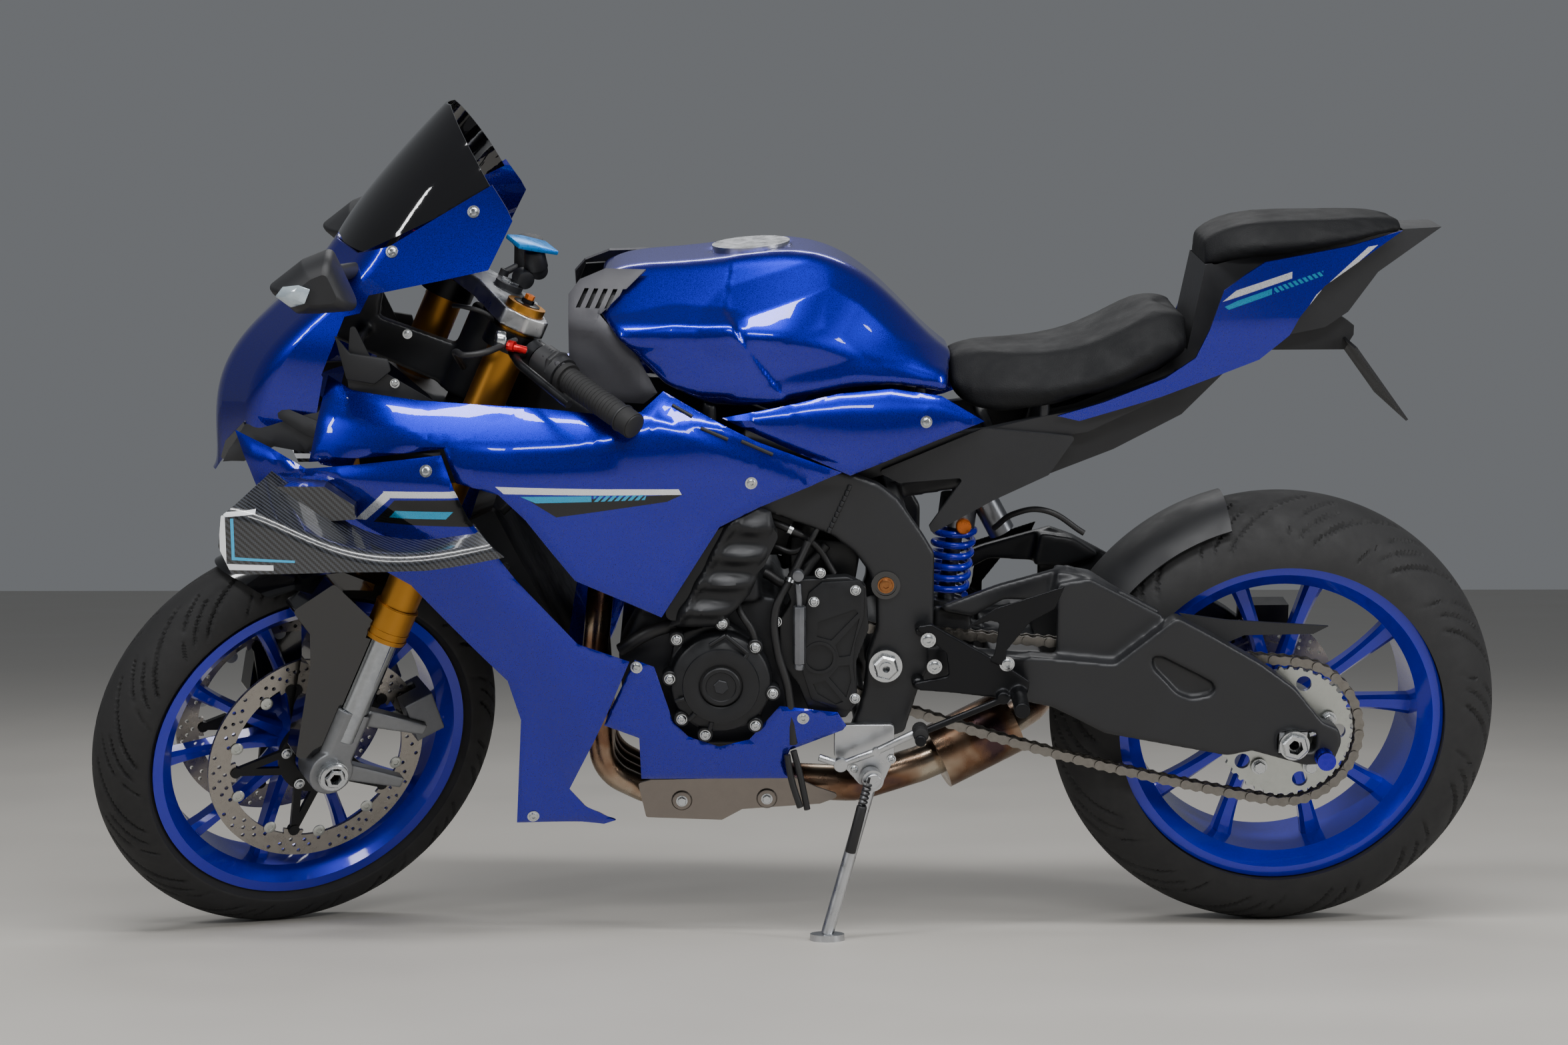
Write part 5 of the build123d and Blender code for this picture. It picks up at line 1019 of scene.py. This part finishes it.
for a, b in (((-812, 480), (-790, 494)), ((-790, 494), (-760, 468)), ((-760, 468), (-774, 446))):
    rings.append(bar((a[0], -206, a[1]), (b[0], -206, b[1]), 3.0))
sprocketCover = plate([(-676, 544), (-658, 559), (-606, 562), (-600, 553), (-600, 510), (-612, 472),
                       (-615, 442),
                       (-610, 402), (-618, 376), (-637, 377), (-672, 391), (-684, 431), (-686, 500)], -170,
                      -175, 1.2)
for pocket in ([(-663, 503), (-612, 521), (-608, 515), (-645, 476), (-665, 482)],
               [(-606, 508), (-616, 466), (-619, 454), (-634, 452), (-639, 470)],
               [(-634, 440), (-620, 441), (-617, 419), (-624, 394), (-648, 423)],
               [(-670, 414), (-653, 419), (-628, 388), (-638, 384), (-664, 400)]):
    cut(sprocketCover, plate(pocket, -172.4, -190, 0))
cut(sprocketCover, bar((-661, -173.2, 452), (-661, -190, 452), 19, bevel=0))
covers = rings + [sprocketCover, lathed(band(19, 23, 0, 1.8), (-661, -174.6, 452))]
settle(covers, "coverDetails", "castBlack", smooth=30)
spots = [(Vector((x, -196.8, z)), out) for x, z in generator["bolts"]]
spots += facing(-174.8, (-669, 532), (-612, 548), (-612, 393))
spots += facing(-171, (-720, 503), (-660, 572))
bolted("coverBolts", socketHead(6.2, 5.0, 1.2), spots)
hexPlug = lathed([(0, 0), (10.5, 0), (10.5, 1.6), (9.5, 2.4), (0, 2.4)], (cx, cy - 5.4, cz), steps=6)
settle(hexPlug, "timingPlug", "castGrey")
print("covers dressed")

# finned cover beside the cylinder head
headCover = {"outline": [(-868, 503), (-800, 502), (-757, 548), (-742, 584), (-727, 616), (-722, 640),
                         (-728, 664),
                         (-752, 676), (-793, 655), (-812, 608), (-838, 560)],
             "shape": [("swell", ((-752, 645), (26, 12)), 0, 13.0), ("swell", ((-768, 604), (34, 11)), 0, 14.0),
                       ("swell", ((-790, 566), (36, 10)), 0, 14.0), ("swell", ((-822, 528), (38, 10)), 0, 13.0),
                       ("ridge", [(-852, 515), (-822, 572), (-800, 618), (-776, 655)], 9.0, 7.0)]}
fins = sheetPanel(headCover["outline"], lambda x, z: np.full(len(x), 199.0), headCover["shape"], step=4.0,
                  wall=3.0,
                  roll=(6.0, 8.0))
settle(fins, "headCoverFins", "castBlack", smooth=40)

# frame: weld, bolts, spindle nut
weld = [bar((-618 - 30 * i / 9 - 1, -149.5, 690 - 67 * i / 9),
        (-618 - 30 * (i + 1) / 9, -149.5, 690 - 67 * (i + 1) / 9),
            3.4, bevel=1.2) for i in range(9)]
settle(weld, "frameWeld", "framePaint")
nutWasher = lathed(band(9, 23, 0, 2.4), (-569, -161, 435))
nut = lathed([(9, 2.4), (18, 2.4), (18, 10), (15, 12.5), (9, 12.5)], (-569, -161, 435), steps=6)
spindle = lathed(band(5, 9, 0, 16), (-569, -161, 435))
settle([nutWasher, nut, spindle], "pivotNut", "zincSteel", smooth=25)
recess = lathed(band(15, 20, 0, 2.0), (-569, -150, 548))
settle([recess, lathed(band(0, 15, 0.1, 0.5), (-569, -150, 548))], "frameBoltRecess", "glossBlack")
bolted("bronzeBolts", socketHead(9.5, 4.0, 2.0), [(Vector((-569, -151, 548)), out),
                                                  (Vector((-611, -152, 333)), out)], "bronzeBolt")
bolted("rearsetBolts", socketHead(8.0, 5.0, 2.5), facing(-182, (-512, 478), (-403, 443), (-503, 440)))

# hoses, sleeve and clips on the engine's left side
hoses = {"coolantHose": ([(-676, -150, 610), (-702, -168, 560), (-722, -178, 520), (-720, -182, 468),
                          (-705, -184, 411),
                          (-697, -182, 330)], 6.0),
         "breatherHose": ([(-781, -160, 540), (-767, -186, 516), (-754, -190, 495), (-747, -186, 462)], 5.0),
         "crankHose": ([(-935, -165, 462), (-892, -172, 490), (-858, -170, 500)], 9.5),
         "drainHoseA": ([(-706, -186, 315), (-700, -188, 280), (-688, -190, 240)], 4.6),
         "drainHoseB": ([(-697, -182, 320), (-688, -186, 285), (-678, -188, 236)], 4.6),
         "brakeHoseRear": ([(-410, -40, 600), (-385, -70, 628), (-345, -92, 638), (-290, -96, 606)], 4.2)}
pieces = [hose(points, radius) for points, radius in hoses.values()]
settle(pieces, "engineHoses", "hoseBlack", smooth=50)
sensor = [bar((-689, -182, 528), (-689, -182, 446), 9.0, sides=8, bevel=1.5),
          bar((-689, -182, 446), (-690, -182, 438), 7.5),
          bar((-691, -182, 560), (-689, -182, 528), 4.5),
          bar((-691, -176, 572), (-691, -190, 572), 8.5, bevel=3)]
settle(sensor, "rectifierPlug", "shockGrey")

# gear linkage, side stand dressing
linkage = [bar((-662, -188, 312), (-632, -190, 302), 5.0), bar((-632, -190, 302), (-583, -194, 322), 5.0),
           bar((-583, -194, 322), (-523, -196, 352), 5.4),
           bar((-632, -184, 302), (-632, -196, 302), 10, bevel=2),
           bar((-583, -190, 322), (-583, -199, 322), 6, bevel=1)]
settle(linkage, "gearLinkage", "silverAluminium")
toe = [bar((-523, -186, 352), (-523, -222, 354), 9.5, bevel=2.0)]
toe += [lathed(band(9.4, 10.6, i * 6, i * 6 + 3), (-523, -190, 352.4))
        for i in range(5)]
settle(toe, "gearPegRubber", "gripRubber")
pivot, tip = Vector((-592, -193, 284)), Vector((-619, -206, 178))
line = tip - pivot
coil = []
for i in range(73):
    a = i * pi / 6
    side, other = line.orthogonal().normalized(), line.cross(line.orthogonal()).normalized()
    coil.append(pivot + line * (0.06 + 0.34 * i / 72) + (side * cos(a) + other * sin(a)) * 5.2)
standSpring = [hose(coil, 1.3), bar(pivot + line * 0.38, tip, 7.4, bevel=2.0),
               bar(pivot, pivot + line * 0.08, 2.0)]
settle(standSpring, "standSpringSleeve", "hoseBlack", "side_stand", smooth=50)
bolted("standBolts", hexHead(8.5, 6.0), facing(-186, (-588, 277)), body="side_stand")
bolted("standBracketBolts", socketHead(5.0, 4.0, 1.5), facing(-163, (-612, 286), (-560, 300)))
print("left side dressed")

# exhaust guard, shock
dimples = [lathed([(0, 0), (15, 0), (13, 2.4), (11, 3.0), (0, 3.0)], (x, -84, z))
           for x, z in ((-853, 214), (-732, 216))]
settle(dimples, "guardDimples", "guardSteel")
bolted("guardBolts", hexHead(6.5, 4.5), facing(-87, (-853, 214), (-732, 216)))
settle([bar((-452, -24, 600), (-452, -34, 600), 11, bevel=2)], "shockAdjuster", "orangeCap")

# rear wheel: sprocket nuts, spindle nut, balance weights
fives = [(Vector((62 * cos(2 * pi * (i + 0.25) / 5), -122.5, 320.5 + 62 * sin(2 * pi * (i + 0.25) / 5))), out)
         for i in range(5)]
bolted("sprocketNuts", hexHead(9.0, 9.0), fives, body="rear_wheel")
weights = []
for i in range(3):
    a = radians(-96 + 3.4 * i)
    weights.append(bar((206 * cos(a), -60, 320.5 + 206 * sin(a)), (206 * cos(a), -46, 320.5 + 206 * sin(a)),
                       4.6, sides=4))
settle(weights, "balanceWeights", "zincSteel", "rear_wheel")
spindleNut = [lathed(band(11, 21, 0, 3), (0, -180, 320.5)),
              lathed([(11, 3), (19, 3), (19, 9), (17, 11), (11, 11)], (0, -180, 320.5), steps=6),
              bar((58, -160, 338), (24, -160, 330), 4.5)]
settle(spindleNut, "spindleNut", "zincSteel", smooth=25)

# front wheel and fork


def hubRing(count, turn, radius, half):
    # spots round the front hub, on both sides
    return [(Vector((-1405 + radius * cos(a), side * half, 300 + radius * sin(a))), Vector((0, side, 0)))
            for side in (-1, 1) for a in (2 * pi * (i + turn) / count for i in range(count))]


bolted("discBolts", socketHead(6.5, 5.0, 1.5), hubRing(5, 0.25, 48, 73.5), body="front_wheel")
bobbin = lathed([(0, 0), (9, 0), (9, 1.2), (7.5, 2.2), (4, 2.2), (3.4, 1.0), (0, 1.0)], axis=(0, 0, 1),
                steps=24)
bolted("discBobbins", bobbin, hubRing(10, 0.5, 124, 73.0), "sprocketZinc", "front_wheel")
footPlace = Vector((-1405, -137, 300))
hexAxle = [lathed([(9, 0), (15, 0), (15, 7), (13.5, 8.5), (9, 8.5)], footPlace, steps=6),
           lathed([(15, -1), (21, -1), (21, 3.2), (19.5, 4.2), (15, 4.2)], footPlace)]
settle(hexAxle, "frontSpindleEnd", "zincSteel", "steering", smooth=25)
print("wheels dressed")

# what fills the gap between engine, frame and tank
filler = [plate([(-735, 575), (-640, 575), (-600, 640), (-610, 700), (-760, 720), (-790, 660)], -92, 92, 8),
          plate([(-700, 540), (-610, 540), (-600, 600), (-700, 610)], -118, 118, 6)]
for i in range(4):
    y = -84 + 56 * i
    filler.append(bar((-690, y, 560), (-660, y, 660), 24, bevel=3))
settle(filler, "throttleBodies", "castBlack")
loom = [hose([(-740, -132, 640), (-700, -140, 625), (-665, -132, 600), (-640, -134, 560)], 5.5),
        hose([(-725, -128, 600), (-690, -146, 596), (-655, -140, 640), (-640, -128, 660)], 4.0),
        hose([(-735, -126, 560), (-700, -138, 548), (-670, -130, 576), (-650, -128, 600)], 7.0)]
settle(loom, "engineLoom", "hoseBlack", smooth=50)
clamps = [lathed(band(6.4, 7.6, -3, 3), place, axis=axis, steps=20) for place, axis in
          (((-700, -140, 625), (1, -0.1, -0.5)), ((-702, -168, 560), (0.4, 0.5, 1)))]
settle(clamps, "hoseClamps", "zincSteel")

# dark strip between the fairings, and the slots behind the shoulder
strip = {"outline": [(-1396, 806), (-1353, 794), (-1297, 779), (-1229, 762), (-1168, 758), (-1168, 750),
                     (-1230, 752),
                     (-1308, 760), (-1359, 772), (-1392, 788)]}
seamStrip = sheetPanel(strip["outline"], lambda x, z: fairingSkin(x, z) - 5.0, [], step=9.0, wall=2.0)
settle(twoSided(seamStrip), "fairingGapStrip", "plasticBlack", smooth=40)
slots = []
for a, b in (((-860, 818), (-833, 804)), ((-822, 790), (-786, 774)), ((-768, 771), (-726, 751))):
    for side in (-1, 1):
        (pa, na), (pb, nb) = (skinAt(x, z - 6, "upperFairingSkins", side=side) for x, z in (a, b))
        slots.append(bar(pa + na * 0.4, pb + nb * 0.4, 2.6, sides=12, bevel=0))
settle(slots, "shoulderSlots", "plasticBlack", smooth=40)

# handlebar dressing
controls = []
for side in (-1, 1):
    controls.append(bar(barPoint(-2, side), barPoint(24, side), 17.0, bevel=3))
    controls.append(bar(barPoint(20, side), barPoint(24, side), 19.5, bevel=1))
    controls.append(bar(barPoint(137, side), barPoint(143, side), 20.5, bevel=1.5))
    for step, (w, h) in ((150, (9, 24)), (163, (8, 21)), (176, (9, 18))):
        controls.append(bar(barPoint(step, side) + Vector((0, 0, 6)),
                            barPoint(step + w, side) + Vector((0, 0, 4)), h, sides=8, bevel=3))
settle(controls, "barControlsDetail", "plasticBlack", "steering")
ribs = []
for side in (-1, 1):
    for i in range(17):
        at = 34 + i * 6.1
        ribs.append(lathed([(16.6, 0), (17.8, 0.8), (17.8, 3.0), (16.6, 3.8)], barPoint(at, side),
                           axis=barPoint(200, side) - barPoint(0, side), steps=28))
settle(ribs, "gripRibs", "gripRubber", "steering")
switch = barPoint(158) + Vector((-6, -14, 16))
keys = [bar(switch + Vector((8 * i, 0, -3 * i)), switch + Vector((8 * i, -7, 2 - 3 * i)), 3.6, sides=16)
        for i in range(3)]
settle(keys, "switchButtons", "plasticGrey", "steering")
lever = barPoint(196) + steerAhead * 40
adjuster = [bar(lever + Vector((-6, -8, 8)), lever + Vector((14, -14, 2)), 5.5, bevel=1.5),
            bar(lever + Vector((-8, -4, 9)), lever + Vector((-2, -12, 9)), 7.5, sides=10, bevel=1)]
twin = [mirrored(piece) for piece in adjuster]
settle(adjuster + twin, "leverAdjusters", "redAnodised", "steering")
cable = [hose([lever + Vector((8, 6, 10)), Vector((-1222, -172, 925)), Vector((-1226, -140, 918)),
               Vector((-1212, -112, 898)), Vector((-1190, -82, 868))], 4.6),
         hose([Vector((-1150, -96, 930)), Vector((-1166, -104, 950)), Vector((-1190, -90, 958)),
               Vector((-1196, -60, 950))], 3.2)]
settle(cable, "clutchCable", "hoseBlack", "steering", smooth=50)
settle([bar(lever + Vector((-22, 6, 16)), lever + Vector((-10, 2, 14)), 12, bevel=2)], "cableAdjuster",
       "zincSteel", "steering")


def onLegs(profile, at, steps):
    # a turned ring on both fork legs
    return [lathed(profile, onFork(at, 26, side * 108), axis=steerUp, steps=steps) for side in (-1, 1)]


settle(onLegs([(0, 0), (24, 0), (24, 6), (21, 8), (0, 8)], 711, 36), "forkTopRings", "forkGold", "steering")
settle(onLegs([(0, 0), (19, 0), (19, 5), (16, 6), (9, 6), (9, 11), (0, 11)], 718, 12), "forkTopCaps",
       "blackAluminium", "steering", smooth=25)
settle(onLegs(band(0, 7, 0, 7), 728, 6), "dampingScrews", "orangeCap", "steering",
       smooth=25)
bolted("stemNut", hexHead(15, 12), [(onFork(712, 0, 0), steerUp)], body="steering", smooth=25)
goldRings = []
for at, r in ((212, 31.2), (222, 30.8), (256, 31.0), (300, 28.2), (332, 28.2)):
    goldRings += onLegs([(r - 2.5, 0), (r, 0.4), (r, 2.6), (r - 2.5, 3)], at, 48)
settle(goldRings, "forkRings", "forkGold", "steering")
phone = [bar((-1066, -12, 950), (-1066, 12, 950), 14, bevel=5),
         bar((-1066, 0, 952), (-1044, 0, 960), 10, bevel=3),
         bar((-1044, -11, 960), (-1044, 11, 960), 13, bevel=5),
         bar((-1046, 0, 962), (-1050, 0, 990), 17, tip=14, bevel=3)]
settle(phone, "phoneMount", "plasticBlack", "steering")
wing = plate([(-1084, 1004), (-1066, 998), (-1024, 986), (-1022, 992), (-1060, 1006), (-1082, 1010)], -22, 22,
             1.5)
settle(wing, "phoneMountLatch", "blueCap", "steering")
print("bars dressed")

# cockpit sides
boxes = [plate([(-1310, 905), (-1296, 845), (-1258, 838), (-1236, 856), (-1240, 872), (-1290, 880)], -165,
               -172, 2)]
boxes += [mirrored(boxes[0])]
settle(boxes, "cockpitLids", "plasticBlack")
spots = facing(-164.5, (-1213, 905), (-1232, 838))
bolted("cockpitScrews", socketHead(4.5, 3.5, 2.0), spots, both=True)

# mirrors: clear indicator lens
lens = {"outline": [(-1364, 984), (-1352, 997), (-1330, 1001), (-1314, 996), (-1322, 977), (-1343, 970)],
        "middle": (-1338, 986)}
cells = []
for share in (0.9, 0.45):
    for x, z in lens["outline"]:
        place, normal = skinAt(lens["middle"][0] + (x - lens["middle"][0]) * share,
                               lens["middle"][1] + (z - lens["middle"][1]) * share, "mirrors")
        cells.append(place + out * 2.4)
place, normal = skinAt(*lens["middle"], "mirrors")
cells.append(place + out * 3.0)
faces = [(i, (i + 1) % 6, 6 + (i + 1) % 6, 6 + i) for i in range(6)]
faces = faces + [(6 + i, 6 + (i + 1) % 6, 12) for i in range(6)]
lensPane = fromPoints("lens", cells, faces=faces)
applied(lensPane, "SOLIDIFY", thickness=0.004, offset=-1.0)
edgesBroken(lensPane, 0.8)
settle([lensPane, mirrored(lensPane)], "indicatorLenses", "lampLens", smooth=40)

# intake duct behind the nose's lower edge
duct = sheetPanel([(-1474, 722), (-1450, 768), (-1402, 812), (-1330, 806), (-1296, 785), (-1300, 762),
                   (-1352, 745), (-1400, 748), (-1444, 724)],
                  lambda x, z: np.minimum(fairingSkin(x, z) - 16, 150 + (x + 1474) * 0.35), [],
                  step=12.0, wall=2.5)
settle(twoSided(duct), "intakeDucts", "plasticBlack", smooth=40)

print("details done")
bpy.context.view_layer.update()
import json
